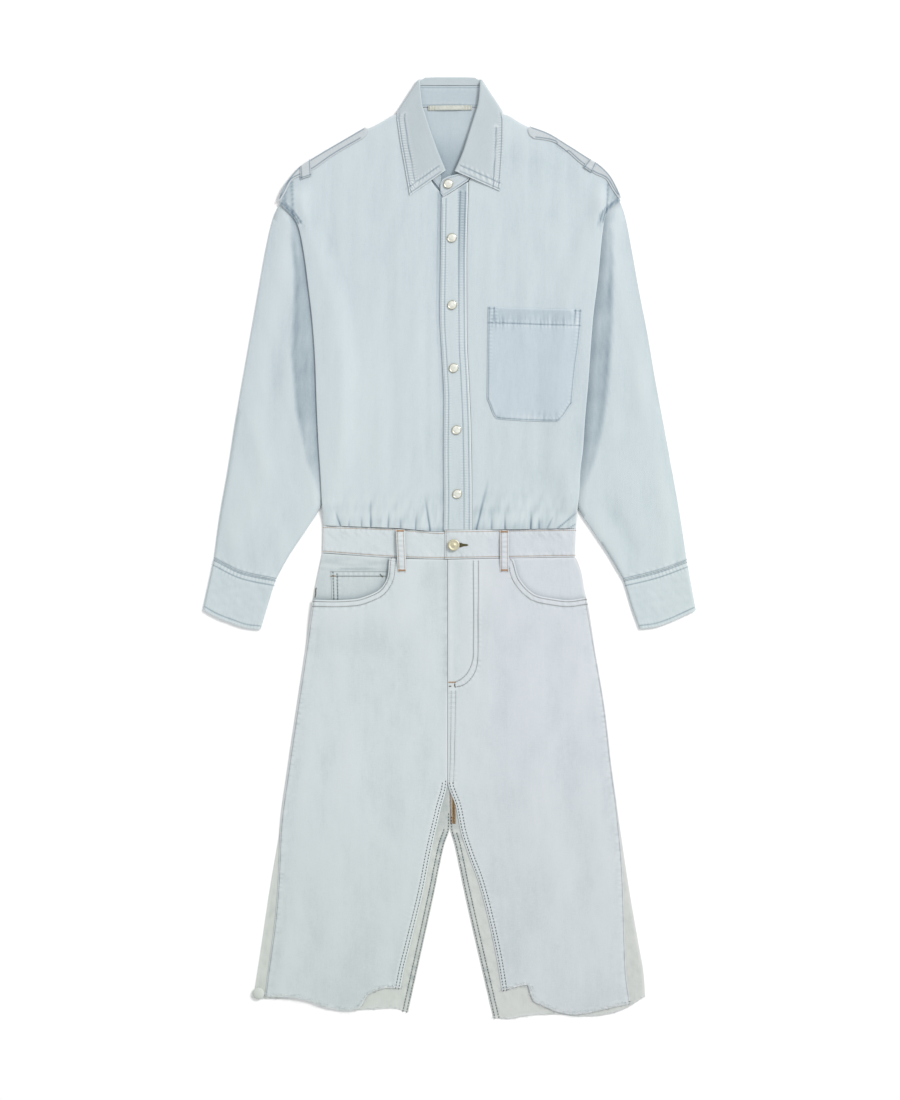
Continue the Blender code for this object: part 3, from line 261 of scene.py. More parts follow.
def smoothLine(points, where):  # smooth, never overshooting, at fractions of an outline's length
    p = np.array(points, float)
    step = np.linalg.norm(np.diff(p, axis=0), axis=1)
    at = np.r_[0, np.cumsum(step)] / step.sum()
    slope = np.diff(p, axis=0) / np.diff(at)[:, None]
    tangent = np.vstack([slope[:1], np.zeros((len(p) - 2, p.shape[1])), slope[-1:]])
    for i in range(1, len(p) - 1):
        a, b = slope[i - 1], slope[i]
        same = a * b > 0
        tangent[i] = np.where(same, 2 * a * b / np.where(same, a + b, 1), 0)
    where = np.asarray(where, float)
    i = np.clip(np.searchsorted(at, where, side="right") - 1, 0, len(p) - 2)
    width = (at[i + 1] - at[i])[:, None]
    t = ((where - at[i]) / width[:, 0])[:, None]
    low = (2 * t**3 - 3 * t**2 + 1) * p[i] + (t**3 - 2 * t**2 + t) * width * tangent[i]
    return low + (3 * t**2 - 2 * t**3) * p[i + 1] + (t**3 - t**2) * width * tangent[i + 1]


def panelPlan(top, foot, left, right, across, down):
    t, f = smoothLine(top, across), smoothLine(foot, across)
    l, r = smoothLine(left, down), smoothLine(right, down)
    u, v = np.asarray(across)[None, :, None], np.asarray(down)[:, None, None]
    corners = (1 - u) * (1 - v) * t[0] + u * (1 - v) * t[-1] + (1 - u) * v * f[0] + u * v * f[-1]
    return (1 - v) * t[None] + v * f[None] + (1 - u) * l[:, None] + u * r[:, None] - corners


def lineLength(points):
    return float(np.linalg.norm(np.diff(np.array(points, float), axis=0), axis=1).sum())


def stops(length, step, fine=()):  # grid fractions, closer where a seam runs; fine is (from, to, step)
    marks = np.linspace(0, length, max(2, int(round(length / step)) + 1))
    for start, end, close in fine:
        if start < 0:
            start, end = length + start, length + end
        marks = np.r_[marks[(marks < start - close / 2) | (marks > end + close / 2)],
                      np.linspace(start, end, int(round((end - start) / close)) + 1)]
    marks = np.unique(np.round(np.r_[0, marks, length], 4))
    keep = np.r_[True, np.diff(marks) > 0.2]
    marks = marks[keep]
    marks[-1] = length
    return marks / length


def edgeRow(plan, side, distance, start=0.0, end=1.0):  # a stitch row at a distance inside one edge of a panel
    flip = {"left": plan, "right": plan[:, ::-1], "top": plan.transpose(1, 0, 2), "foot": plan[::-1].transpose(1, 0, 2)}
    grid = flip[side]
    inner = grid[:, min(6, grid.shape[1] - 1)] - grid[:, 0]
    run = np.gradient(grid[:, 0], axis=0)
    normal = np.stack([-run[:, 1], run[:, 0]], axis=1)
    normal *= np.sign((normal * inner).sum(axis=1))[:, None] / np.linalg.norm(normal, axis=1)[:, None]
    row = grid[:, 0] + normal * distance
    first, last = int(start * (len(row) - 1)), int(round(end * (len(row) - 1)))
    return resample(row[first:last + 1], 3.0)


def resample(points, step):
    points = np.array(points, float)
    size = np.linalg.norm(np.diff(points, axis=0), axis=1)
    at = np.r_[0, np.cumsum(size)]
    spots = np.linspace(0, at[-1], max(2, int(round(at[-1] / step)) + 1))
    return np.stack([np.interp(spots, at, points[:, k]) for k in range(points.shape[1])], axis=1)


def alongRow(row, x, y, reach):  # distance to a stitch row and place along it
    best, spot = np.full(x.shape, 1e3), np.zeros(x.shape)
    near = (x > row[:, 0].min() - reach) & (x < row[:, 0].max() + reach)
    near &= (y > row[:, 1].min() - reach) & (y < row[:, 1].max() + reach)
    px, py = x[near], y[near]
    found, place, length = best[near], spot[near], 0.0
    for a, b in zip(row, row[1:]):
        run = b - a
        size = np.hypot(*run)
        t = np.clip(((px - a[0]) * run[0] + (py - a[1]) * run[1]) / size**2, 0, 1)
        away = np.hypot(px - a[0] - t * run[0], py - a[1] - t * run[1])
        closer = away < found
        found = np.where(closer, away, found)
        place = np.where(closer, length + t * size, place)
        length += size
    best[near], spot[near] = found, place
    return best, spot


def seamRelief(rows, x, y, look):  # how stitch rows sink and pucker the cloth, how they wear it, and their grooves' darker blue, kept dye and painted shade
    dip, tone = 0 * x, 0 * x
    for number, row in enumerate(rows):
        away, place = alongRow(np.array(row, float), x, y, look["reach"] * 3)
        groove = np.exp(-((away / look["groove"]) ** 2))
        flank = np.exp(-(((away - look["reach"]) / (0.75 * look["reach"])) ** 2)) * (away < 3 * look["reach"])
        beat = np.sin(2 * np.pi * place / look["beat"] + 1.6 * np.sin(place / 13.0 + number) + number)
        beat = beat * (0.65 + 0.35 * np.sin(place / 31.0 + 2.1 * number))
        dip += flank * look["pucker"] * beat - look["depth"] * groove
        tone += flank * look["wear"] * (0.25 + 0.75 * beat) - look["dyeAndShade"] * groove
    return dip, np.clip(tone, -0.55, 0.4)


def highPass(z, reach=6):  # how far a grid's height stands above the mean round it
    def blur(grid, axis):
        grid = np.moveaxis(grid, axis, 0)
        padded = np.concatenate([np.repeat(grid[:1], reach + 1, 0), grid, np.repeat(grid[-1:], reach, 0)])
        total = np.cumsum(padded, axis=0)
        return np.moveaxis((total[2 * reach + 1:] - total[:-2 * reach - 1]) / (2 * reach + 1), 0, axis)
    return z - blur(blur(z, 0), 1)


def offsetLine(points, distance, step=3.0):  # a line beside another; a positive distance is to its right
    row = resample(smoothLine(points, np.linspace(0, 1, 12 * len(points))), step)
    run = np.gradient(row, axis=0)
    return row + distance * np.stack([run[:, 1], -run[:, 0]], axis=1) / np.linalg.norm(run, axis=1)[:, None]


def newObject(name, data):
    made = bpy.data.objects.new(name, data)
    bpy.context.scene.collection.objects.link(made)
    return made


def toMesh(name, points, quads, uv, tone, finish, node):
    quads = np.asarray(quads, int)
    p = points[quads]
    volume = (np.einsum("ij,ij->i", p[:, 0], np.cross(p[:, 1], p[:, 2]))
              + np.einsum("ij,ij->i", p[:, 0], np.cross(p[:, 2], p[:, 3]))).sum()
    if volume < 0:
        quads = quads[:, ::-1]
    mesh = bpy.data.meshes.new(name)
    mesh.from_pydata((points * mm).tolist(), [], quads.tolist())
    layer = mesh.uv_layers.new(name="weave")
    loops = np.zeros(len(mesh.loops), int)
    mesh.loops.foreach_get("vertex_index", loops)
    layer.data.foreach_set("uv", (uv[loops] * mm).ravel())
    mesh.attributes.new("tone", "FLOAT", "POINT").data.foreach_set("value", tone.astype(np.float32))
    mesh.shade_smooth()
    mesh.set_sharp_from_angle(angle=1.0)
    mesh.materials.append(finish)
    made = newObject(name, mesh)
    settle(made, node)
    return made


def settle(made, node=None):  # rides on the one body and stands for its CAD node
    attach(made, "root")
    if node:
        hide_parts(node)


def gridQuads(rows, columns, first=0, wrap=False):
    i, j = np.meshgrid(np.arange(rows - 1), np.arange(columns if wrap else columns - 1), indexing="ij")
    a = i * columns + j
    b = i * columns + (j + 1) % columns
    return first + np.stack([a, a + columns, b + columns, b], axis=-1).reshape(-1, 4)


def shell(name, upper, lower, uv, tone, finish, node, inner=0.3):  # two grids closed round their edge
    rows, columns = upper.shape[:2]
    count = rows * columns
    rim = np.r_[np.arange(columns - 1), np.arange(rows - 1) * columns + columns - 1,
                (rows - 1) * columns + np.arange(columns - 1, 0, -1), np.arange(rows - 1, 0, -1) * columns]
    after = np.roll(rim, -1)
    quads = np.vstack([gridQuads(rows, columns), gridQuads(rows, columns, count)[:, ::-1],
                       np.stack([rim, after, after + count, rim + count], axis=1)])
    points = np.vstack([upper.reshape(-1, 3), lower.reshape(-1, 3)])
    uv = np.vstack([uv.reshape(-1, 2)] * 2)
    tone = np.r_[tone.ravel(), tone.ravel() * inner]
    return toMesh(name, points, quads, uv, tone, finish, node)


def edgeDistance(plan):  # rough distance of every grid point to the panel's four edges
    def run(grid):
        size = np.linalg.norm(np.diff(grid, axis=1), axis=2)
        return np.concatenate([np.zeros((len(grid), 1)), np.cumsum(size, axis=1)], axis=1)
    across, down = run(plan), run(plan.transpose(1, 0, 2)).T
    return across, across[:, -1:] - across, down, down[-1:] - down


def cutSize(plan, around=1):  # the flat size of a panel: width, length and area in metres
    width = np.linalg.norm(np.diff(plan, axis=1), axis=2).sum(axis=1).max() * around
    length = np.linalg.norm(np.diff(plan, axis=0), axis=2).sum(axis=0).max()
    a, b = plan[1:, 1:] - plan[:-1, :-1], plan[1:, :-1] - plan[:-1, 1:]
    area = np.abs(a[..., 0] * b[..., 1] - a[..., 1] * b[..., 0]).sum() / 2 * around
    width, length, area = width * mm, max(length, 13.6) * mm, area * mm * mm  # the narrow tape is cut double
    return (width, length), min(max(area, 0.31 * width * length), width * length)


def panel(name, plan, under, wall, rows, look, finish, node, shade=None):
    # A cloth piece: a wall over its plan with its seams sunk, its rim rounded and worn
    x, y = plan[..., 0], plan[..., 1]
    low = under(x, y) + 0 * x
    dip, tone = seamRelief(rows, x, y, look)
    left, right, top, foot = edgeDistance(plan)
    rim = np.minimum.reduce([left, right, top, foot])
    dip = dip - 0.35 * wall * np.exp(-rim / 0.55) - 0.2 * wall * np.exp(-rim / 1.8)
    # rims paler with wear; ridges paler and troughs darker as painted light and shade
    tone = tone + look["rim"] * np.exp(-rim / 0.9) + np.clip(look["ridge"] * highPass(low), -0.3, 0.2)
    if shade is not None:
        tone = tone + shade(x, y)
    upper = np.dstack([plan, np.maximum(low + wall + dip, low + 0.35 * wall)])
    lower = np.dstack([plan, low])
    made = shell(name, upper, lower, plan, tone, finish, node)
    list(cutSize(plan))
    return made


frays = {}  # loose yarns and the rolled seam end, by the cloth piece that they hang from
# Rows collected by colour while the pieces are made; bars are bartacks and satin rows, sewn across their line
threads = {"pale": [], "cream": [], "tan": [], "umber": [], "rust": [], "grey": []}
bars = {"tan": [], "amber": [], "rust": [], "moss": [], "tape": []}


def drape(piece, rows, proud):  # rows of plan points laid on a piece
    tree = BVHTree.FromObject(piece, bpy.context.evaluated_depsgraph_get())
    above, nearTop, laid = 50 * mm, 6 * mm, []
    for row in rows:
        line = []
        for x, y in resample(row, 1.4):
            hit = tree.ray_cast((x * mm, y * mm, above), (0, 0, -1))[0]
            if hit is None:
                hit = tree.find_nearest((x * mm, y * mm, nearTop))[0]
            line.append((x, y, hit[2] / mm + proud))
        laid.append(np.array(line))
    return laid


def sew(piece, colour, rows):
    threads[colour] += drape(piece, rows, threadLift["sewn"])


def tack(piece, colour, rows):
    bars[colour] += drape(piece, rows, threadLift["tacked"])


def linesObject(name, lines):  # polylines as one mesh of loose edges
    points, edges, start = [], [], 0
    for line in lines:
        points += (np.array(line, float) * mm).tolist()
        edges += [(start + k, start + k + 1) for k in range(len(line) - 1)]
        start += len(line)
    mesh = bpy.data.meshes.new(name)
    mesh.from_pydata(points, edges, [])
    return newObject(name, mesh)


def place(tree, kind, settings=None, output=0, **links):  # one node: its settings first, then its inputs
    node = tree.nodes.new(kind)
    for key, value in (settings or {}).items():
        setattr(node, key, value)
    for key, value in links.items():
        socket = node.inputs[int(key[1:])] if key[1:].isdigit() else node.inputs[key.replace("_", " ")]
        value = getattr(value, "socket", value)
        if isinstance(value, bpy.types.NodeSocket):
            tree.links.new(value, socket)
        else:
            socket.default_value = value
    return node.outputs[output]


def geometryTree(name, numbers, material, whole=()):  # a tree with named inputs, and a call that adds its nodes
    tree = bpy.data.node_groups.new(name, "GeometryNodeTree")
    tree.interface.new_socket("Geometry", in_out="INPUT", socket_type="NodeSocketGeometry")
    kinds = {label: "NodeSocketFloat" for label in numbers} | {material: "NodeSocketMaterial"}
    found = {}
    for label, kind in (kinds | {label: "NodeSocketInt" for label in whole}).items():
        found[label] = tree.interface.new_socket(label, in_out="INPUT", socket_type=kind).identifier
    tree.interface.new_socket("Geometry", in_out="OUTPUT", socket_type="NodeSocketGeometry")
    return tree, found, tree.nodes.new("NodeGroupInput").outputs, partial(place, tree)


def spread(add, given):  # points every pitch along the guide lines
    curve = add("GeometryNodeMeshToCurve", _0=given["Geometry"])
    return add("GeometryNodeResampleCurve", {"mode": "LENGTH"}, Curve=curve, Length=given["Pitch"])


def vary(add, low, high, seed):
    return add("FunctionNodeRandomValue", {"data_type": "FLOAT"}, 1, _2=low, _3=high, Seed=seed)


def closeTree(tree, add, points, shape, material, **setting):  # the shape on every point, realized
    setOut = add("GeometryNodeInstanceOnPoints", Points=points, Instance=shape, **setting)
    real = add("GeometryNodeRealizeInstances", Geometry=setOut)
    done = add("GeometryNodeSetMaterial", Geometry=real, Material=material)
    tree.links.new(done, tree.nodes.new("NodeGroupOutput").inputs[0])


def stitchTree():  # one small thread bead every pitch along each line
    tree, found, given, add = geometryTree("thread rows", ("Pitch", "Length", "Thickness", "Turn", "Unevenness"),
                                           "Thread")
    points = spread(add, given)
    facing = add("FunctionNodeAlignRotationToVector", {"axis": "X"}, Vector=add("GeometryNodeInputTangent"))
    wobble = add("ShaderNodeMath", {"operation": "MULTIPLY_ADD"}, _0=vary(add, -0.12, 0.12, 5),
                 _1=given["Unevenness"], _2=given["Turn"])
    turn = add("FunctionNodeEulerToRotation", Euler=add("ShaderNodeCombineXYZ", Z=wobble))
    facing = add("FunctionNodeRotateRotation", {"rotation_space": "LOCAL"}, Rotation=facing, Rotate_By=turn)
    bead = add("GeometryNodeMeshUVSphere", Segments=6, Rings=4, Radius=0.5)
    bead = add("GeometryNodeSetShadeSmooth", Geometry=bead)
    longer = add("ShaderNodeMath", {"operation": "MULTIPLY"}, _0=given["Length"], _1=vary(add, 0.9, 1.1, 8))
    size = add("ShaderNodeCombineXYZ", X=longer, Y=given["Thickness"], Z=given["Thickness"])
    closeTree(tree, add, points, bead, given["Thread"], Rotation=facing, Scale=size)
    return tree, found


def frayTree():  # loose yarns standing off a raw edge, each bent its own way
    tree, found, given, add = geometryTree("frayed yarns", ("Pitch", "Length", "Thickness", "Spread"), "Yarn",
                                           ("Seed",))
    shift = add("FunctionNodeRandomValue", {"data_type": "FLOAT_VECTOR"}, _0=(-0.0004, -0.0006, -0.0003),
                _1=(0.0004, 0.0006, 0.0004), Seed=given["Seed"])
    points = add("GeometryNodeSetPosition", Geometry=spread(add, given), Offset=shift)
    yarn = add("GeometryNodeCurveQuadraticBezier", Resolution=5, Start=(0, 0, 0), Middle=(0.75, -0.5, 0.12),
               End=(-0.15, -0.9, 0.0))
    ring = add("GeometryNodeCurvePrimitiveCircle", Resolution=3, Radius=given["Thickness"])
    yarn = add("GeometryNodeCurveToMesh", Curve=yarn, Profile_Curve=ring, Fill_Caps=True)
    turn = add("ShaderNodeMath", {"operation": "MULTIPLY"}, _0=vary(add, -1.0, 1.0, given["Seed"]),
               _1=given["Spread"])
    reach = add("ShaderNodeMath", {"operation": "MULTIPLY"}, _0=vary(add, 0.35, 1.25, 3), _1=given["Length"])
    closeTree(tree, add, points, yarn, given["Yarn"], Rotation=add("ShaderNodeCombineXYZ", Z=turn), Scale=reach)
    return tree, found


def grow(name, lines, recipe, values, slot):  # a tree run on lines and kept as one plain mesh
    tree, found = recipe
    guide = linesObject(name + " guide", lines)
    modifier = guide.modifiers.new("threads", "NODES")
    modifier.node_group = tree
    for label, value in values.items():
        modifier[found[label]] = value
    graph = bpy.context.evaluated_depsgraph_get()
    mesh = bpy.data.meshes.new_from_object(guide.evaluated_get(graph))
    bpy.data.objects.remove(guide, do_unlink=True)
    mesh.name = name
    made = newObject(name, mesh)
    settle(made)
    return made


# Materials
class Wire:  # a socket that can be used in sums
    def __init__(self, tree, socket):
        self.tree, self.socket = tree, socket

    def node(self, kind, settings=None, output=0, **links):
        return Wire(self.tree, place(self.tree, kind, settings, output, **links))

    def sum(self, operation, first, second):
        return self.node("ShaderNodeMath", {"operation": operation}, _0=first, _1=second)

    def __add__(self, other):
        return self.sum("ADD", self, other)

    def __sub__(self, other):
        return self.sum("SUBTRACT", self, other)

    def __rsub__(self, other):
        return self.sum("SUBTRACT", other, self)

    def __mul__(self, other):
        return self.sum("MULTIPLY", self, other)

    def __truediv__(self, other):
        return self.sum("DIVIDE", self, other)

    def __pow__(self, other):
        return self.sum("POWER", self, other)

    __radd__, __rmul__ = __add__, __mul__

    def noise(self, size, stretch, detail=2.0, seed=0.0, rough=0.5):  # -0.5 to 0.5 over its size in millimetres
        spread = tuple(1000.0 / (size * s) for s in stretch)
        scaled = self.node("ShaderNodeVectorMath", {"operation": "MULTIPLY"}, _0=self, _1=spread)
        moved = self.node("ShaderNodeVectorMath", {"operation": "ADD"}, _0=scaled, _1=(seed, seed * 0.7, 0))
        return self.node("ShaderNodeTexNoise", {"noise_dimensions": "3D"}, Vector=moved, Scale=1.0,
                         Detail=detail, Roughness=rough) - 0.5

    def sine(self):
        return self.sum("SINE", self, 0.0)

    def clamp(self, low=0.0, high=1.0):
        return self.node("ShaderNodeClamp", Value=self, Min=low, Max=high)

    def step(self, low, high):
        return self.node("ShaderNodeMapRange", {"interpolation_type": "SMOOTHSTEP"}, Value=self, From_Min=low,
                         From_Max=high)

    def parts(self):  # its x and y
        x = self.node("ShaderNodeSeparateXYZ", Vector=self)
        return x, Wire(self.tree, x.socket.node.outputs[1])

    def bump(self, strength, distance):
        return self.node("ShaderNodeBump", Height=self, Strength=strength, Distance=distance)

    def between(self, first, second, blend="MIX"):  # a colour part of the way from one to the other
        first, second = (value if isinstance(value, Wire) else (*value, 1) for value in (first, second))
        return self.node("ShaderNodeMix", {"data_type": "RGBA", "blend_type": blend}, 2, _0=self, _6=first, _7=second)


lamp = {"level": 1.15, "world": 0.74, "at": (4.6, 4.0, 5.6), "size": 2.4, "power": 430}


def linear(colour):  # the albedo that shows as this screen colour under the studio's light
    c = np.array(colour, float) / 255
    c = np.where(c <= 0.04045, c / 12.92, ((c + 0.055) / 1.055) ** 2.4)
    return tuple(float(v) for v in np.clip(c / lamp["level"], 0, 0.92))


def newMaterial(name, settings):
    made = bpy.data.materials.new(name)
    made.use_nodes = True
    shader = made.node_tree.nodes["Principled BSDF"]
    for key, value in settings.items():
        shader.inputs[key].default_value = value
    tree = made.node_tree
    return made, shader, Wire(tree, place(tree, "ShaderNodeTexCoord", None, "Object"))


def join(wire, socket):
    wire.tree.links.new(wire.socket, socket)


def denim(name, look):
    made, shader, spot = newMaterial(name, {"Sheen Weight": 0.12, "Sheen Roughness": 0.5,
                                              "Specular IOR Level": 0.25})
    weave = spot.node("ShaderNodeUVMap", {"uv_map": "weave"})
    tone = spot.node("ShaderNodeAttribute", {"attribute_name": "tone"}, "Fac")
    streak = weave.noise(1.7, (1, 12, 1), 3.0, 3.1, 0.6) + weave.noise(5.5, (1, 9, 1), 2.0, 8.4) * 0.9
    slub = weave.noise(0.9, (1, 7, 1), 2.0, 14.2, 0.7)
    weft = weave.noise(0.9, (10, 1, 1), 2.0, 4.7, 0.6)
    cloud = spot.noise(24, (1, 1.7, 1), 4.0, 1.7, 0.62)
    patch = spot.noise(90, (1, 1.5, 1), 2.0, 5.2)
    speck = weave.noise(0.8, (1, 1, 1), 1.0, 21.0)
    # tone carries each piece's wear together with its painted light and shade
    fade = (0.5 + streak * look["streak"] + slub * look["slub"] + weft * look["weft"] + cloud * look["cloud"]
            + patch * look["patch"] + speck * look["speck"] + tone)
    deepPart, palePart = (fade * 2).clamp(), (fade * 2 - 1).clamp()
    body = palePart.between(deepPart.between(look["deep"], look["mid"]), look["pale"])
    side, high = spot.parts()
    for along, edges, tint in ((high, look["lowEdges"], look["lowTint"]), (side, look["sideEdges"], look["sideTint"])):
        body = along.step(*edges).between(body, tint, "MULTIPLY")
    join(body, shader.inputs["Base Color"])
    join((0.86 - fade * 0.12).clamp(0.6, 0.95), shader.inputs["Roughness"])
    u, v = weave.parts()
    fullTurn, yarnPitch = 6.283 / mm, 0.55
    rib = ((u * 2.1 + v) * (fullTurn / look["rib"])).sine()
    yarn = (v * (fullTurn / yarnPitch)).sine()
    height = rib * 0.5 + yarn * 0.15 + streak * 0.8 + weft * 0.6 + speck * 1.2
    join(height.bump(0.5, look["relief"] * mm), shader.inputs["Normal"])
    return made


def threadMaterial(name, colour, spread=0.25):
    made, shader, spot = newMaterial(name, {"Roughness": 0.7, "Sheen Weight": 0.2})
    vary = spot.noise(3.0, (1, 1, 1), 2.0, 4.0) + spot.noise(40, (1, 1, 1), 2.0, 9.0)
    dark = tuple(c * (1 - spread) for c in colour)
    light = tuple(min(1.0, c * (1 + spread)) for c in colour)
    join((0.5 + vary * 1.2).clamp().between(dark, light), shader.inputs["Base Color"])
    twist = spot.noise(0.35, (1, 1, 1), 1.0, 2.0)
    join(twist.bump(0.4, 0.1 * mm), shader.inputs["Normal"])
    return made


shirtLook = {"deep": linear((118, 138, 154)), "mid": linear((205, 217, 222)), "pale": linear((238, 243, 245)),
             "streak": 0.09, "slub": 0.13, "weft": 0.07, "cloud": 0.08, "patch": 0.07, "speck": 0.11, "rib": 1.4,
             "relief": 0.12, "lowEdges": (0.30, 0.0), "lowTint": (1.0, 1.003, 0.992), "sideEdges": (0.22, 0.32),
             "sideTint": (1.0, 1.004, 0.99)}
jeansLook = {"deep": linear((128, 146, 154)), "mid": linear((212, 221, 224)), "pale": linear((238, 242, 243)),
             "streak": 0.07, "slub": 0.13, "weft": 0.12, "cloud": 0.13, "patch": 0.10, "speck": 0.14, "rib": 1.6,
             "relief": 0.14, "lowEdges": (-0.20, -0.55), "lowTint": (0.965, 0.975, 0.955),
             "sideEdges": (-0.02, 0.08), "sideTint": (1.015, 0.992, 1.018)}


def tuned(look, mid, **changes):  # a cloth's look round another middle colour
    return look | {"mid": linear(mid)} | changes


denimShirt = denim("denimShirt", shirtLook)
denimPocket = denim("denimPocket", tuned(shirtLook, (198, 211, 219)))
denimCollar = denim("denimCollar", tuned(shirtLook, (195, 206, 211), streak=0.06))
denimStrap = denim("denimStrap", tuned(shirtLook, (202, 209, 213), streak=0.05))
denimInside = denim("denimInside", tuned(shirtLook, (190, 203, 210), streak=0.06))
denimJeans = denim("denimJeans", jeansLook)
denimFacing = denim("denimFacing", tuned(jeansLook, (208, 218, 220)))
denimBand = denim("denimBand", tuned(jeansLook, (214, 223, 226)))
denimWrong = denim("denimWrong", tuned(jeansLook, (212, 217, 213), streak=0.08, cloud=0.2))
tapeCotton = denim("tapeCotton", tuned(shirtLook, (211, 214, 204), streak=0.05, cloud=0.1))
# grey is darker than its thread, to carry the painted shade of its stitch holes too
threadColours = {"pale": (160, 178, 190), "cream": (154, 152, 144), "tan": (192, 142, 88), "umber": (100, 86, 68),
                 "rust": (126, 88, 70), "moss": (88, 82, 34), "grey": (50, 54, 52), "tape": (188, 182, 160),
                 "amber": (188, 130, 26)}
threadFinish = {colour: threadMaterial("thread_" + colour, linear(value)) for colour, value in threadColours.items()}
yarnBlue = threadMaterial("yarnBlue", linear((170, 193, 200)), 0.2)
yarnWhite = threadMaterial("yarnWhite", linear((242, 245, 243)), 0.06)
print("materials made")


# How a stitched row sinks (depth, groove), puckers (pucker, reach, beat) and wears; dyeAndShade darkens its groove with
# kept dye and painted shade, ridge paints light and shade on the cloth's ridges and troughs
shirtSeams = {"depth": 0.24, "groove": 0.75, "pucker": 0.16, "reach": 2.7, "beat": 4.6, "wear": 0.15, "dyeAndShade": 0.32,
              "rim": 0.16, "ridge": 0.06}
collarSeams = shirtSeams | {"beat": 3.4, "wear": 0.28, "pucker": 0.20, "reach": 2.4, "dyeAndShade": 0.36, "rim": 0.26}
strapSeams = shirtSeams | {"beat": 4.0, "wear": 0.06, "pucker": 0.06, "dyeAndShade": 0.42, "rim": 0.04}
jeansSeams = {"depth": 0.26, "groove": 0.7, "pucker": 0.20, "reach": 2.6, "beat": 6.2, "wear": 0.14, "dyeAndShade": 0.20,
              "rim": 0.16, "ridge": 0.12}


def makeBodice():
    look = {"step": 3.0, "across": 1.15, "backStep": 5.8, "lap": 14.0, "armhole": (1.3, 4.9), "capStart": 0.075,
            "waist": 24, "gap": 0.30, "fold": 0.16, "waistDark": 0.18, "capSeam": 0.19, "cap": 0.30,
            "washAndShadePatches": [(-115, 170, 62, 130, 0.07), (130, 500, 50, 34, -0.04), (172, 130, 13, 120, -0.05),
                     (-14, 400, 12, 80, -0.05), (140, 250, 30, 60, -0.03)]}

    def insideShade(x, y):  # painted shade: the neck opening's inside is darker further down, under the collar
        return -0.24 * (1 - ramp(y, 462, 555)) * ramp(y, 400, 430)

    def frontShade(x, y):  # painted shade by the placket, at the waist seam and in the creases below the straps; bluer on the armhole seams
        beside = x - tableX(placketLeft, y)
        gap = np.exp(-((beside / 2.2) ** 2)) * (beside < 1)
        fold = np.exp(-(((beside + 4.6) / 0.8) ** 2)) * (0.4 + 0.6 * ramp(y, 200, 430))
        fold = fold + 0.45 * ramp(y, 340, 440) * ramp(beside, -5.2, -4.4) * (beside < 1)
        waist = np.exp(-np.maximum(y - look["waist"], 0) / 2.5)
        inside = np.minimum(x - tableX(sideLeft, y), tableX(sideRight, y) - x) * 0.72
        seam = ramp(y, 412, 424) * (1 - ramp(inside, look["armhole"][1] + 0.8, look["armhole"][1] + 2.2))
        out = np.abs(x) - 203 - 0.05 * (y - 425)
        cap = (np.exp(-((out / 1.3) ** 2)) + 0.45 * ramp(out, -1, 1)) * ramp(y, 422, 432) * (1 - ramp(y, 474, 484))
        # gap, fold, waist and cap are painted shade; seam is the armhole seams' bluer cloth; the patches are wash and
        # painted shade
        shade = -look["gap"] * gap - look["fold"] * fold - look["waistDark"] * waist - look["capSeam"] * seam
        shade = shade - look["cap"] * cap + washAndShade(look["washAndShadePatches"], x, y) + creaseShade(x, y, look["waist"])
        return shade + 0.04 * waves(x, y, 5, 18, 33) * (1 - ramp(y, 40, 90))

    plan = panelPlan(shoulderLeft + neckBack + shoulderRight, waistBack, sideLeft, sideRight,
                     stops(340, look["backStep"]), stops(550, look["backStep"]))
    panel("bodiceBack", plan, underBack, cloth["wall"], [], shirtSeams, denimInside, "bodice_back",
          insideShade)
    lapTop, lapFoot = (look["lap"], 453), (look["lap"], waistLeft[-1][1])
    innerEdge = [neckRight[0]] + [(x + 0.45, y) for x, y in placketRight[1:]]
    fronts = (("Left", shoulderLeft + neckLeft[1:] + [lapTop], waistLeft, sideLeft, [lapTop, lapFoot], 178),
              ("Right", neckRight + shoulderRight[1:], [innerEdge[-1], waistRight[-1]], innerEdge, sideRight, 150))
    for side, top, foot, left, right, width in fronts:
        plan = panelPlan(top, foot, left, right, stops(width, look["across"]),
                         stops(430, look["step"], [(-56, 0, 1.6)]))
        rows = [edgeRow(plan, side.lower(), away, 0, look["capStart"]) for away in look["armhole"]]
        front = panel(f"bodiceFront{side}", plan, underFront, cloth["wall"], rows, shirtSeams, denimShirt,
                      f"bodice_front_{side.lower()}", frontShade)
        sew(front, "pale", rows)


def makePlacket():
    plan = panelPlan([placketLeft[0], placketRight[0]], [placketLeft[-1], placketRight[-1]], placketLeft,
                     placketRight, stops(36, 0.9), stops(440, 1.15))
    rows = [edgeRow(plan, "right", 3.4, 0.03, 1), edgeRow(plan, "right", 10.2, 0.03, 1),
            edgeRow(plan, "left", 5.8, 0.0, 1), edgeRow(plan, "left", 1.2, 0.02, 1)]

    def bandShade(x, y):  # the stitched hem of the band is bluer than its middle
        depth = 0.02 + 0.22 * ramp(y, 300, 440)
        return -depth * ramp(x, 9, 12) * (1 - ramp(x - tableX(placketRight, y), -3.5, -1.5))

    band = panel("placketBand", plan, underPlacket, cloth["placket"], rows,
                 collarSeams | {"dyeAndShade": 0.28, "pucker": 0.12, "wear": 0.14}, denimShirt,
                 "placket", bandShade)
    sew(band, "pale", rows[:3])


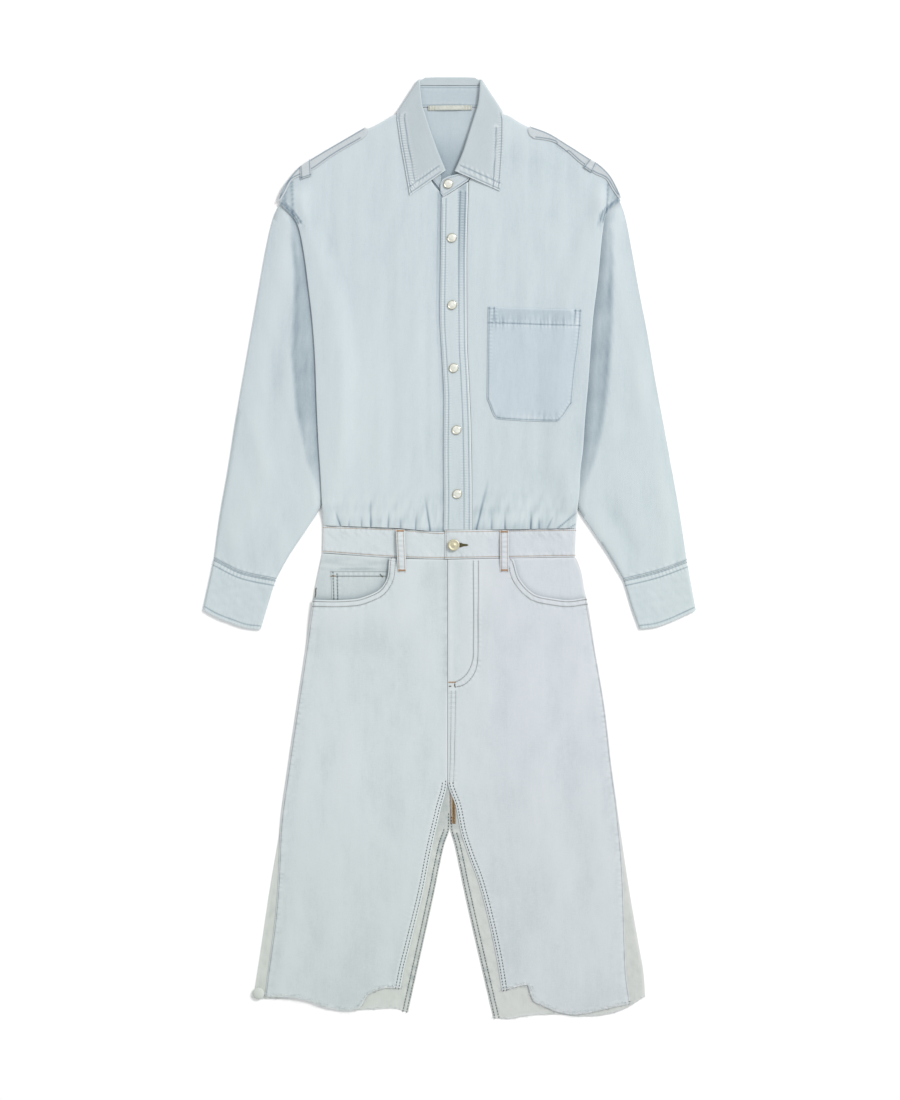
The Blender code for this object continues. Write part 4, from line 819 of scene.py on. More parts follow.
def makePocket():
    left = [(49.4, 312.7), (48.1, 193)]
    right = [(171, 308.8), (168.5, 275), (162.5, 229.5), (158.6, 187)]
    foot = [(48.1, 193), (62, 167.3), (137.8, 163.7), (158.6, 187)]
    plan = panelPlan([left[0], right[0]], foot, left, right, stops(122, 1.6), stops(140, 1.5))
    rows = [edgeRow(plan, "left", 1.6), edgeRow(plan, "right", 1.6), edgeRow(plan, "foot", 1.6),
            edgeRow(plan, "top", 20.5), edgeRow(plan, "left", 8.2, 0, 0.15), edgeRow(plan, "right", 8.2, 0, 0.15),
            edgeRow(plan, "top", 1.8, 0, 0.07), edgeRow(plan, "top", 1.8, 0.93, 1)]

    def hemShade(x, y):  # the folded hem is deeper blue, with small upright puckers
        hem = ramp(y, 289, 293)
        pleats = waves(x, 0 * y + y * 0.2, 3.2, 9, 41) * np.exp(-(((y - 293) / 9) ** 2))
        foot = waves(x, 0 * y + y * 0.3, 3.4, 8, 42) * (1 - ramp(y, 168, 182))
        return -0.07 * hem + 0.07 * pleats + 0.06 * foot

    pocket = panel("chestPocket", plan, lambda x, y: topFront(x, y) + cloth["stack"], cloth["wall"], rows,
                   shirtSeams, denimPocket, "chest_pocket", hemShade)
    sew(pocket, "pale", rows[:6])


# Collar: stations as (roll x y z, edge x y z, seam x y, lip) from the middle of the back to a front end
collarRear = [(0, 609.9, 1.7, 0, 553, 1.7, 0, 573.2, 9), (18, 609.9, 1.7, 22, 554.5, 1.7, 20, 573.2, 9),
              (33, 609.6, 1.7, 52, 561, 1.7, 45, 572.9, 9)]
collarFrontLeft = [(-39.6, 592, 6.4, -68.4, 556, 4.4, -59, 556, 5),
                   (-37.4, 574.5, 6.8, -65.2, 533.7, 3.8, -54.3, 542.7, 5),
                   (-32.4, 557.5, 6.8, -63, 520, 3.5, -50, 530.5, 5),
                   (-27.5, 542, 6.6, -60.5, 506.4, 3.2, -44.8, 517.9, 5),
                   (-17.2, 513.4, 5.7, -55.9, 480.4, 3, -30.7, 489.7, 5),
                   (-7.2, 489, 4.4, -52, 458, 2.8, -11, 464, 5)]
collarFrontRight = [(39.6, 592, 6.4, 69.3, 556, 4.4, 59, 556, 5),
                    (37.4, 574.5, 6.8, 69, 533.7, 3.8, 54.3, 542.7, 5),
                    (32.4, 557.5, 6.8, 68.5, 520, 3.6, 50.2, 530.5, 5),
                    (27.5, 542, 6.8, 67.8, 506.4, 3.4, 45.2, 517.9, 5),
                    (18.5, 513.4, 6.6, 66.3, 484.3, 3.2, 33.3, 494.5, 5),
                    (8, 488.6, 6.1, 65, 463.5, 3, 23.6, 477.2, 5)]
collarFold = {"top": (40, 603.1, 3.7), "foot": (66.2, 565.2, 2.95), "inner": 1.0, "seamInner": 0.67, "seamAt": 40,
              "rear": (-5, 44.5, 2.26, 9), "front": (0, 49.5, 2.6, 6), "rearRoll": 1.0, "frontRoll": 1.5}
tabUnder = 3.2
tabCuts = [((-2.5, 482.3, 4.9), (7, 465.6)), ((-9.6, 478.4, 4.8), (-8.4, 456.2)), ((-12.6, 473, 4.6), (-12.3, 461))]


def collarCuts():  # every cut: roll, leaf edge, up, roll radius, lip and neck seam
    def cut(row, side, up, radius):
        tx, ty, tz, bx, by, bz, sx, sy, lip = row
        height = underBack(np.array(sx), np.array(sy)) if up > 0 else underFront(np.array(sx), np.array(sy))
        return np.array([tx * side, ty, tz, bx * side, by, bz, 0, 0, up, radius, lip, sx * side, sy,
                         float(height) + cloth["wall"] / 2], float)

    def fold(side):
        top, foot = np.array(collarFold["top"], float), np.array(collarFold["foot"], float)
        along = (foot - top) / np.linalg.norm(foot - top)
        outward = np.array([-along[1], along[0], 0])
        outward /= np.linalg.norm(outward)
        upward = np.cross(outward, along)
        upward *= np.sign(upward[2])
        flip = np.array([side, 1, 1])
        cuts = []
        for angle in range(0, 181, 15):
            way = outward * np.sin(np.radians(angle)) - upward * np.cos(np.radians(angle))
            part = angle / 180
            rollAt, edgeAt, edgeOff, lip = (np.array(collarFold["rear"], float) * (1 - part)
                                            + np.array(collarFold["front"], float) * part)
            edgeAt -= 2.0 * np.sin(np.pi * part)
            radius = collarFold["rearRoll"] + (collarFold["frontRoll"] - collarFold["rearRoll"]) * part
            roll = top + along * rollAt + way * (collarFold["inner"] + radius)
            edge = top + along * edgeAt + way * (edgeOff - radius)
            seam = top + along * collarFold["seamAt"] + way * collarFold["seamInner"]
            cuts.append(np.r_[roll * flip, edge * flip, -way * flip, radius, lip, seam * flip])
        return cuts

    def finer(rows, times):  # more cuts between the stations, smoothly
        rows = np.array(rows, float)
        where = np.linspace(0, len(rows) - 1, (len(rows) - 1) * times + 1)
        slope = np.gradient(rows, axis=0)
        i = np.minimum(where.astype(int), len(rows) - 2)
        t = (where - i)[:, None]
        return list((2 * t**3 - 3 * t**2 + 1) * rows[i] + (t**3 - 2 * t**2 + t) * slope[i]
                    + (3 * t**2 - 2 * t**3) * rows[i + 1] + (t**3 - t**2) * slope[i + 1])

    rear = [cut(row, -1, 1, collarFold["rearRoll"]) for row in collarRear[:0:-1]]
    rear += [cut(row, 1, 1, collarFold["rearRoll"]) for row in collarRear]
    frontLeft = finer([cut(row, 1, -1, collarFold["frontRoll"]) for row in collarFrontLeft], 20)
    frontRight = finer([cut(row, 1, -1, collarFold["frontRoll"]) for row in collarFrontRight], 20)
    return frontLeft[::-1], fold(-1)[::-1], finer(rear, 6), fold(1), frontRight


def fallOf(c):
    return (c[3:6] - c[:3]) / np.linalg.norm(c[3:6] - c[:3])


def upOf(c):
    up = c[6:9] - fallOf(c) * (c[6:9] @ fallOf(c))
    return up / np.linalg.norm(up)


def runs(grid):  # length along the cuts and down them, for the weave and the worn edges
    along = np.r_[0, np.cumsum(np.linalg.norm(np.diff(grid[:, 0], axis=0), axis=1))]
    down = np.linalg.norm(np.diff(grid, axis=1), axis=2)
    down = np.concatenate([np.zeros((len(grid), 1)), np.cumsum(down, axis=1)], axis=1)
    return np.repeat(along[:, None], grid.shape[1], axis=1), down


def makeCollar():
    look = {"rows": (2.0, 9.4), "roll": 12, "leaf": 40}
    frontLeft, foldLeft, rear, foldRight, frontRight = collarCuts()
    cuts = frontLeft + foldLeft + rear + foldRight + frontRight
    half = cloth["collar"] / 2
    parts = np.unique(np.r_[np.linspace(0.04, 0.8, look["leaf"] // 2), np.linspace(0.8, 1, look["leaf"] // 2)])
    turns = np.radians(np.linspace(0, 180, look["roll"] + 1))
    grids = []
    for offset in (half, -half):
        grid = []
        for c in cuts:
            size, radius, lip = np.linalg.norm(c[3:6] - c[:3]), c[9], c[10]
            bend = radius + offset
            section = [(lip, bend), (lip * 0.7, bend), (lip * 0.4, bend), (lip * 0.15, bend)]
            section += [(-bend * np.sin(a), bend * np.cos(a)) for a in turns]
            section += [(size * part, -bend) for part in parts]
            line = np.array([c[:3] + a * fallOf(c) + b * upOf(c) for a, b in section])
            if upOf(c)[2] < -0.9:
                for point in line[4 + len(turns):]:
                    rest = float(topFront(point[0], point[1])) + cloth["stack"] + half
                    point[2] = max(point[2], rest + offset)
            grid.append(line)
        grids.append(np.array(grid))
    upper, lower = grids
    along, down = runs(upper)
    rows, first = [], 4 + len(turns)
    tone = np.zeros(along.shape)
    for low, high, edge in ((0, len(frontLeft) + 3, "top"), (len(cuts) - len(frontRight) - 3, len(cuts), "foot")):
        plan = lower[low:high, first:, :2]
        made = [edgeRow(plan, "right", look["rows"][0]), edgeRow(plan, "right", look["rows"][1], 0.12, 1)]
        made = [row[1:] if edge == "top" else row[:-1] for row in made]
        made += [edgeRow(plan, edge, look["rows"][0], 0.04, 0.98), edgeRow(plan, edge, look["rows"][1], 0.0, 0.97)]
        rows += made
        # the rows' tone: worn puckers, and grooves darkened with kept dye and painted shade
        sink, wear = seamRelief(made, plan[..., 0], plan[..., 1], collarSeams)
        higher = lower if np.mean(lower[low:high, first:, 2]) > np.mean(upper[low:high, first:, 2]) else upper
        higher[low:high, first:, 2] += sink
        tone[low:high, first:] += wear
    rim = np.minimum(down[:, -1:] - down, np.minimum(along, along[-1] - along))
    tone += collarSeams["rim"] * np.exp(-rim / 1.2)
    leaf = shell("collarLeaf", upper, lower, np.dstack([down, along]), tone, denimCollar,
                 "collar_leaf", 1.0)
    sew(leaf, "pale", rows)
    cuts = [(c[:3] + (c[10] + 2 * cloth["seam"]) * fallOf(c) + c[9] * upOf(c), c[11:14], upOf(c)) for c in cuts]
    for top, foot in tabCuts:
        cuts.append((np.array(top, float), np.array([*foot, tabUnder + cloth["wall"] / 2]), np.array([0, 0, -1.0])))
    grids = []
    for offset in (cloth["wall"] / 2, -cloth["wall"] / 2):
        grid = []
        for start, end, up in cuts:
            run = (end - start) / np.linalg.norm(end - start)
            normal = up - run * (up @ run)
            normal /= np.linalg.norm(normal)
            grid.append([start + (end - start) * part + normal * offset for part in np.linspace(0, 1, 25)])
        grids.append(np.array(grid))
    along, down = runs(grids[0])
    rim = np.minimum(down, down[:, -1:] - down)
    groove = np.exp(-(((rim - 2.2) / 0.7) ** 2))
    beat = 0.5 + 0.5 * np.sin(along * 2 * np.pi / 6.5 + np.sin(along / 11))
    tab = ramp(along, along[-1, 0] - 48, along[-1, 0] - 30)
    # the stitch groove darker with kept dye and painted shade; rim and puckers paler with wear; the tab paler
    tone = -0.25 * groove + 0.12 * np.exp(-rim / 1.0) + 0.08 * beat * np.exp(-(((rim - 4.5) / 2) ** 2)) + 0.10 * tab
    for grid in grids:
        grid[..., 2] -= 0.12 * groove
    stand = shell("collarStand", grids[0], grids[1], np.dstack([down, along]), tone, denimInside,
                  "collar_stand", 1.0)
    face = grids[0] if grids[0][-1, 0, 2] > grids[1][-1, 0, 2] else grids[1]
    tab = np.r_[face[-12:, 3, :2], face[-1:, 4:21, :2][0], face[-12:, 21, :2][::-1]]
    sew(stand, "pale", [tab])
    back = [(x, 601 - 0.0004 * x * x) for x in np.linspace(-33, 34, 20)]
    sew(leaf, "pale", [back])


def makeHanger():
    plan = panelPlan([(-28.6, 574.6), (28.6, 575.2)], [(-28.6, 567.8), (28.6, 568.6)],
                     [(-28.6, 574.6), (-28.6, 567.8)], [(28.6, 575.2), (28.6, 568.6)], stops(57, 0.8), stops(7, 0.6))

    def rise(x, y):
        roundness = 0.35 * (1 - ((y - 571.4) / 3.6) ** 2)
        return collarStack + cloth["wall"] + cloth["stack"] + 0.9 * (1 - ramp(np.abs(x), 6, 24)) + roundness

    loop = panel("hangerLoop", plan, rise, cloth["wall"], [], shirtSeams | {"rim": -0.2}, tapeCotton,
                 "hanger_loop", lambda x, y: 0.05 * waves(x + 2 * y, y, 2.2, 2.2, 51))
    tack(loop, "tape", [[(x, 574.4), (x, 568.4)] for x in (-26.8, -23.2, -19.6, 19.6, 23.2, 26.8)])


def makeStraps():
    look = {"width": 20, "length": 155, "loop": (14, 21)}
    places = [("Left", strapOuterLeft, strapInnerLeft, [(-107.4, 543.4), (-108.4, 537.6)], shoulderLeft,
               [(-195.4, 495.2), (-181.4, 504.4), (-180.2, 483.2), (-194, 478.6)]),
              ("Right", strapOuterRight, strapInnerRight, [(101.2, 543.2), (102.8, 536.8)], shoulderRight,
               [(181.2, 505.2), (190.6, 499.6), (184.6, 487.4), (173.2, 494.8)])]
    for side, outer, inner, tip, shoulder, corners in places:
        plan = panelPlan([outer[0], *tip, inner[0]], [outer[-1], inner[-1]], outer, inner, stops(look["width"], 0.9),
                         stops(look["length"], 1.4))

        def under(x, y):
            line = np.array(sorted(shoulder), float)
            return topFront(x, np.minimum(y, np.interp(x, line[:, 0], line[:, 1]))) + cloth["stack"]

        rows = [edgeRow(plan, "left", 1.0, 0.02, 0.97), edgeRow(plan, "right", 2.3, 0.02, 0.97)]
        strap = panel(f"strap{side}", plan, under, cloth["wall"], rows, strapSeams, denimStrap,
                      f"epaulette_{side.lower()}")
        sew(strap, "pale", rows)
        a, b, c, d = corners
        plan = panelPlan([a, b], [d, c], [a, d], [b, c], stops(look["loop"][0], 0.8), stops(look["loop"][1], 0.8))
        rows = [edgeRow(plan, "left", 1.5), edgeRow(plan, "right", 1.5), edgeRow(plan, "foot", 1.6)]
        carrier = panel(f"strapCarrier{side}", plan, lambda x, y: under(x, y) + cloth["wall"] + cloth["seam"],
                        cloth["wall"], rows, strapSeams, denimStrap,
                        f"strap_carrier_{side.lower()}")
        sew(carrier, "pale", rows)


def sleeveLoft(x, y):
    out = np.maximum(tableX(sideLeft, y) - x, x - tableX(sideRight, y))
    hanging = np.where(y < 25, 60, out)
    rim = np.minimum(np.abs(x - tableX(sleeveOuterLeft, y)), np.abs(x - tableX(sleeveOuterRight, y)))
    full = 2.1 * ramp(rim, 0, 26) + softFolds(sleeveFolds, x, y)
    full = full + (0.28 * waves(x, y, 26, 100, 21) + 0.05 * waves(x, y, 10, 30, 22)) * ramp(rim, 2, 14)
    nearCuff = 0.8 + 0.2 * ramp(y, -40, 20)
    return np.clip(full * nearCuff, 0, lift["most"]) * ramp(hanging, 0.3, 9) * (1 - ramp(y, 425, 446))


# Where the painted shadow beside the body's edge ends, down each sleeve
sleeveShadowBands = {"left": [(-209, 425), (-207, 400), (-202, 356), (-203, 313), (-206, 250), (-200, 180), (-186, 110),
                        (-168, 60)],
               "right": [(212, 438), (213, 374), (212, 322), (209, 257), (204, 192), (195, 140), (187, 107), (170, 62)],
               "strip": 0.25, "crease": 0.09, "washAndShadePatches": [(-250, 60, 80, 90, 0.04)]}


def paintedSleeveShadow(x, y):  # painted shadow of the body's edge on the sleeve strip beside it, a painted shade line along the strip's edge, and a broad paler patch
    left = tableX(sleeveShadowBands["left"], y) - x
    right = x - tableX(sleeveShadowBands["right"], y)
    past = np.where(x < 0, left, right)
    strip = (1 - ramp(past, -5, 4)) * ramp(y, 52, 120) * (1 - ramp(y, 425, 446))
    crease = np.exp(-(((past + 2.5) / 3.0) ** 2)) * ramp(y, 120, 200) * (1 - ramp(y, 400, 440))
    soft = 1 + 0.10 * waves(x, y, 9, 40, 23)
    return washAndShade(sleeveShadowBands["washAndShadePatches"], x, y) - (sleeveShadowBands["strip"] * strip + sleeveShadowBands["crease"] * crease) * soft


def tubePiece(name, plan, loft, wall, rows, node, shade=None):
    # A flattened tube open at both ends: each row of the plan is one ring, top wall over bottom wall
    flat = 2 * wall + cloth["seam"]
    x, y = plan[..., 0], plan[..., 1]
    dip, tone = seamRelief(rows, x, y, shirtSeams)
    run = plan[:, -1] - plan[:, 0]
    run = run / np.linalg.norm(run, axis=1)[:, None]
    where = np.linalg.norm(plan - plan[:, :1], axis=2)
    width = where[:, -1:]
    ease = 0.6 * wall
    spread = ease + (width - 2 * ease) * where / width
    middle = plan[:, :1] + (plan - plan[:, :1]) * (spread / np.maximum(where, 1e-6))[..., None]
    middle[:, 0] = plan[:, 0] + ease * run
    high = flat + loft(middle[..., 0], middle[..., 1]) + dip
    rim = np.clip(np.minimum(spread, width - spread) / 3.2, 0, 1)
    high = flat / 2 + (high - flat / 2) * np.clip(np.sqrt(1 - (1 - rim) ** 2), 0.62, 1)
    # ridges paler and troughs darker: painted light and shade
    tone = tone + np.clip(shirtSeams["ridge"] * highPass(high), -0.3, 0.2)
    if shade is not None:
        tone = tone + shade(x, y)

    def ring(first, last, top, bottom):
        first = np.concatenate([first, np.full((len(plan), 1), flat / 2)], axis=1)[:, None]
        last = np.concatenate([last, np.full((len(plan), 1), flat / 2)], axis=1)[:, None]
        upper = np.concatenate([middle, top[..., None]], axis=2)
        lower = np.concatenate([middle, np.full(top.shape + (1,), bottom)], axis=2)[:, ::-1]
        return np.concatenate([first, upper, last, lower], axis=1)

    outside = ring(plan[:, 0], plan[:, -1], high, 0.0)
    inside = ring(plan[:, 0] + wall * 0.5 * run, plan[:, -1] - wall * 0.5 * run, high - wall, wall)
    rings, around = outside.shape[:2]
    column = np.r_[0, np.arange(plan.shape[1]), plan.shape[1] - 1, np.arange(plan.shape[1])[::-1]]
    tones = np.concatenate([tone[:, :1], tone, tone[:, -1:], 0 * tone], axis=1)
    count = rings * around
    j = np.arange(around)
    k = (j + 1) % around
    end = count - around
    quads = np.vstack([gridQuads(rings, around, 0, True), gridQuads(rings, around, count, True)[:, ::-1],
                       np.stack([j, k, count + k, count + j], axis=1),
                       np.stack([end + k, end + j, count + end + j, count + end + k], axis=1)])
    points = np.vstack([outside.reshape(-1, 3), inside.reshape(-1, 3)])
    made = toMesh(name, points, quads, np.vstack([plan[:, column].reshape(-1, 2)] * 2),
                  np.r_[tones.ravel(), 0 * tones.ravel()], denimShirt, node)
    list(cutSize(plan, 2))
    return made


def makeSleeves():
    look = {"step": 3.0, "cuffStep": 1.5}
    sides = (("Left", armholeLeft, cuffSeamLeft, sleeveOuterLeft, sleeveInnerLeft, cuffEdgeLeft, cuffInnerLeft),
             ("Right", armholeRight, cuffSeamRight, sleeveOuterRight, sleeveInnerRight, cuffEdgeRight, cuffInnerRight))
    for side, armhole, seam, outer, inner, edge, cuffInner in sides:
        plan = panelPlan(armhole, seam, outer, inner, stops(85, look["step"]),
                         stops(480, look["step"], [(-16, 0, 1.3)]))
        rows = [edgeRow(plan, "foot", 1.6)]
        sleeve = tubePiece(f"sleeve{side}", plan, sleeveLoft, cloth["wall"], rows, f"sleeve_{side.lower()}",
                           paintedSleeveShadow)
        sew(sleeve, "pale", rows)
        top = [(x, y - 0.45) for x, y in seam]
        plan = panelPlan(top, edge, [top[0], edge[0]], [top[-1]] + cuffInner[1:], stops(82, look["cuffStep"]),
                         stops(66, look["cuffStep"]))
        rows = [edgeRow(plan, "top", 1.4), edgeRow(plan, "top", 7.6), edgeRow(plan, "foot", 4.2)]
        cuff = tubePiece(f"cuff{side}", plan, lambda x, y: 0.5 + 0.12 * waves(x, y, 14, 9, 24), cloth["cuff"], rows,
                         f"cuff_{side.lower()}")
        sew(cuff, "pale", rows)


def makeWaistband():
    look = {"rows": (1.9, 2.0), "drag": 0.035, "rumple": 0.10, "under": cloth["band"] + cloth["seam"],
            "hole": {"at": (17.0, 3.2), "half": 6.4, "eye": 2.3}}

    def bandShade(x, y):  # slanting drag lines near the seams
        return look["drag"] * waves(x + 0.8 * y, y, 7, 13, 61) * (np.exp(-(((y - 18) / 7) ** 2))
                                                                  + np.exp(-(((y + 9) / 6) ** 2)))

    def band(name, node, top, foot, under, finish, rests):
        plan = panelPlan(top, foot, [top[0], foot[0]], [top[-1], foot[-1]], stops(lineLength(top), 1.8),
                         stops(36, 1.2))
        rows = [edgeRow(plan, side, away) for side, away in zip(("top", "foot"), look["rows"])]

        def rumpled(x, y):
            return under(x, y) + look["rumple"] * (1 + 0.5 * waves(x + 0.6 * y, y, 9, 16, 62))

        made = panel(name, plan, rumpled, cloth["band"], rows, jeansSeams, finish, node,
                     bandShade)
        if finish is denimBand:
            sew(made, "tan", rows)
        return made, plan

    band("waistbandBack", "waistband_back", bandTopBack, bandFootBack, lambda x, y: 0 * x, denimWrong, [])
    band("waistbandFrontLeft", "waistband_front_left", bandTopLeft, bandFootLeft, lambda x, y: look["under"] + 0 * x,
         denimBand, ["waistbandBack"])
    made, plan = band("waistbandFrontRight", "waistband_front_right", bandTopRight, bandFootRight, underBandRight,
                      denimBand, ["waistbandBack", "waistbandFrontLeft"])
    sew(made, "cream", [edgeRow(plan, "left", 1.8, 0.05, 0.95)])
    hole = look["hole"]
    x, y = hole["at"]
    around = [(x + hole["half"] * np.cos(a), y + (1.0 + hole["eye"] * ramp(-np.cos(a), -0.1, 0.7)) * np.sin(a))
              for a in np.linspace(0, 2 * np.pi, 48)]
    inner = [(x - 0.4 + 0.74 * (a - x), y + 0.55 * (b - y)) for a, b in around]
    tack(made, "moss", [around, inner, [(x - hole["half"] + 1, y), (x + hole["half"] - 1, y)]])
    for side, topX, footX, topY, footY in [("Left", -70.2, -67.8, 23.4, -31.2), ("Right", 65, 65.4, 22.2, -31.0)]:
        left, right = [(topX, topY), (footX, footY)], [(topX + 11, topY), (footX + 11, footY)]
        plan = panelPlan([left[0], right[0]], [left[1], right[1]], left, right, stops(11, 0.7), stops(53, 1.1))

        def under(x, y):
            onBand = underBandRight(x, y) if side == "Right" else look["under"] + 0 * x
            ends = np.minimum(topY - y, y - footY)
            return np.maximum(onBand + cloth["band"] + 0.2, topSkirt(x, y)) + cloth["stack"] + 1.3 * ramp(ends, 2, 14)

        rows = [edgeRow(plan, "left", 1.6), edgeRow(plan, "right", 1.6)]
        loop = panel(f"beltLoop{side}", plan, under, cloth["wall"], rows, jeansSeams, denimBand,
                     f"belt_loop_{side.lower()}")
        sew(loop, "tan", rows)
        for y in (topY - 1.7, footY + 1.7):
            x = topX + (footX - topX) * (topY - y) / (topY - footY)
            tack(loop, "tan", [[(x + 1, y), (x + 10, y)]])


def makeSkirt():
    look = {"step": 3.2, "backStep": 4.5, "tear": 3.2, "torn": 0.20, "slitBand": 0.09, "fly": 0.19, "sideDrag": 0.05,
            "slitTop": -304, "slitRows": (2.2, 6.4), "mouthRows": (2.3, 8.6),
            "washAndShadePatches": [(-150, -560, 120, 60, -0.05), (62, -530, 34, 90, -0.06), (190, -590, 70, 40, -0.05),
                     (46, -36, 22, 30, 0.10), (4, -160, 16, 30, -0.03)]}
    pocketRows = {"Left": mouthLeft[:8], "Right": mouthRight[1:]}
    flyOuter = [(37, -18), (36.6, -90), (36.4, -140), (34.6, -155.4), (27.5, -170), (16.9, -179), (7.2, -181.6)]
    flyInner = [(30.4, -18), (30.6, -90), (30.6, -138), (28.6, -150), (22.6, -163), (14.6, -171), (6.6, -175)]
    centreRows = [[(1.6, -187), (1.2, -240), (-0.4, -306)], [(7.2, -187), (6.6, -240), (4.8, -306)]]

    def frontShade(x, y):  # the raw hem and the slit's band are paler and the sides' edges worn; left of the fly's edge is painted shadow, right of it a pale band of wear and painted highlight
        hem = np.where(x < 2, np.interp(x, *np.array(hemFrontLeft).T), np.interp(x, *np.array(hemFrontRight).T))
        away = y - hem
        fringe = 4.4 + 2.4 * waves(x, 0 * y, 24, 24, 73)
        torn = 1.5 * np.exp(-np.maximum(away, 0) / 2.2)
        torn = torn + 0.35 * (1 - ramp(away, fringe, fringe + 1.5)) * waves(x, y, 2, 2, 77)
        slit = np.where(x < 2, tableX(slitLeft, y) - x, x - tableX(slitRight, y)) * 0.96
        band = (1 - ramp(slit, 8.2, 9.6)) * (y < look["slitTop"] - 2)
        fly = ramp(y, -196, -178) * (1 + 0.3 * waves(0 * x, y, 9, 9, 74))
        fly = fly * np.where(x < -3, np.exp(-np.maximum(-3 - x, 0) / 4.5), -0.55 * np.exp(-((x - 1.2) / 3.2) ** 2))
        side = np.minimum(x - tableX(frontSideLeft, y), tableX(frontSideRight, y) - x)
        drag = waves(x, y, 7, 6, 71) * np.exp(-side / 7) * (y < -80)
        return (washAndShade(look["washAndShadePatches"], x, y) + look["torn"] * torn + look["slitBand"] * band - look["fly"] * fly
                + look["sideDrag"] * drag)

    for side, mouth, hem, left, right in (("Left", mouthLeft, hemFrontLeft, frontSideLeft, slitLeft),
                                          ("Right", mouthRight, hemFrontRight, slitRight, frontSideRight)):
        close = (-9, 0, 1.1), ((0, 9, 1.1) if side == "Left" else (0, 44, 1.25))
        down = [(0, 10, 1.2), (132, 182, 1.4), (-10, 0, 1.2)]
        plan = panelPlan(mouth, hem, left, right, stops(170, look["step"], close), stops(570, look["step"], down))
        slitSide, seamSide = ("right", "left") if side == "Left" else ("left", "right")
        slits = [edgeRow(plan, slitSide, away) for away in look["slitRows"]]
        slits = [row[row[:, 1] < look["slitTop"]] for row in slits]
        mouths = [offsetLine(pocketRows[side], away) for away in look["mouthRows"]]
        seam = [edgeRow(plan, seamSide, 1.5)]
        fly = [offsetLine(flyOuter, 0, 2), offsetLine(flyInner, 0, 2)] + centreRows if side == "Right" else []
        rows = slits + mouths + seam + fly
        front = panel(f"skirtFront{side}", plan, underSkirt, cloth["wall"], rows, jeansSeams, denimJeans,
                      f"skirt_front_{side.lower()}", frontShade)
        sew(front, "grey", slits)
        sew(front, "umber", mouths + fly[:2])
        sew(front, "cream", fly[2:])
        sew(front, "rust", seam)
        if side == "Right":
            tack(front, "amber", [[(-1.6, -175.2), (7.4, -175.0)]])
            tack(front, "moss", [[(-1.2, -180.5), (1.4, -180.3)], [(6.2, -177), (6.4, -181)],
                                 [(233.2, -590.2), (234.2, -590.6)]])
    for side, hem, left, right, top in (
            ("Left", hemBackLeft, backSideLeft, backSlitLeft, [(-165.2, -7.1), (-3, -14.5), (-0.2, -14.5)]),
            ("Right", hemBackRight, backSlitRight, backSideRight, [(0.2, -14.5), (3, -14.5), (162.6, -12.6)])):
        slit = left if side == "Right" else right

        def backShade(x, y):  # the slit's stitched band is greyer, the raw hem torn pale, and the middle near the slit's top darker with painted shade
            away = np.abs(x - tableX(slit, y)) * 0.97
            torn = np.exp(-np.maximum(y - np.interp(x, *np.array(hem).T), 0) / look["tear"])
            deep = -0.17 * ramp(y, -420, -335) * (1 - ramp(np.abs(x), 16, 30))
            band = (-0.13 * (1 - ramp(away, 7.0, 8.4)) + 0.08 * torn) * (y < -370)
            return deep + band + 0.02 * waves(x, y, 6, 8, 72)

        close = [(-10, 0, 1.2)] if side == "Left" else [(0, 10, 1.2)]
        plan = panelPlan(top, hem, left, right, stops(230, look["backStep"], close), stops(590, look["backStep"]))
        edge = "right" if side == "Left" else "left"
        rows = [edgeRow(plan, edge, 1.7, 0.56, 1), edgeRow(plan, edge, 6.9, 0.60, 1)]
        back = panel(f"skirtBack{side}", plan, lambda x, y: 0 * x, cloth["wall"], rows, jeansSeams, denimWrong,
                     f"skirt_back_{side.lower()}", backShade)
        sew(back, "grey", rows)
        if side == "Right":
            for colour, x in (("rust", 0.4), ("amber", 2.9), ("moss", 4.4), ("amber", 6.0)):
                bars[colour] += drape(back, [[(x, -318), (x + 0.8, -359)]], threadLift["overlock"])


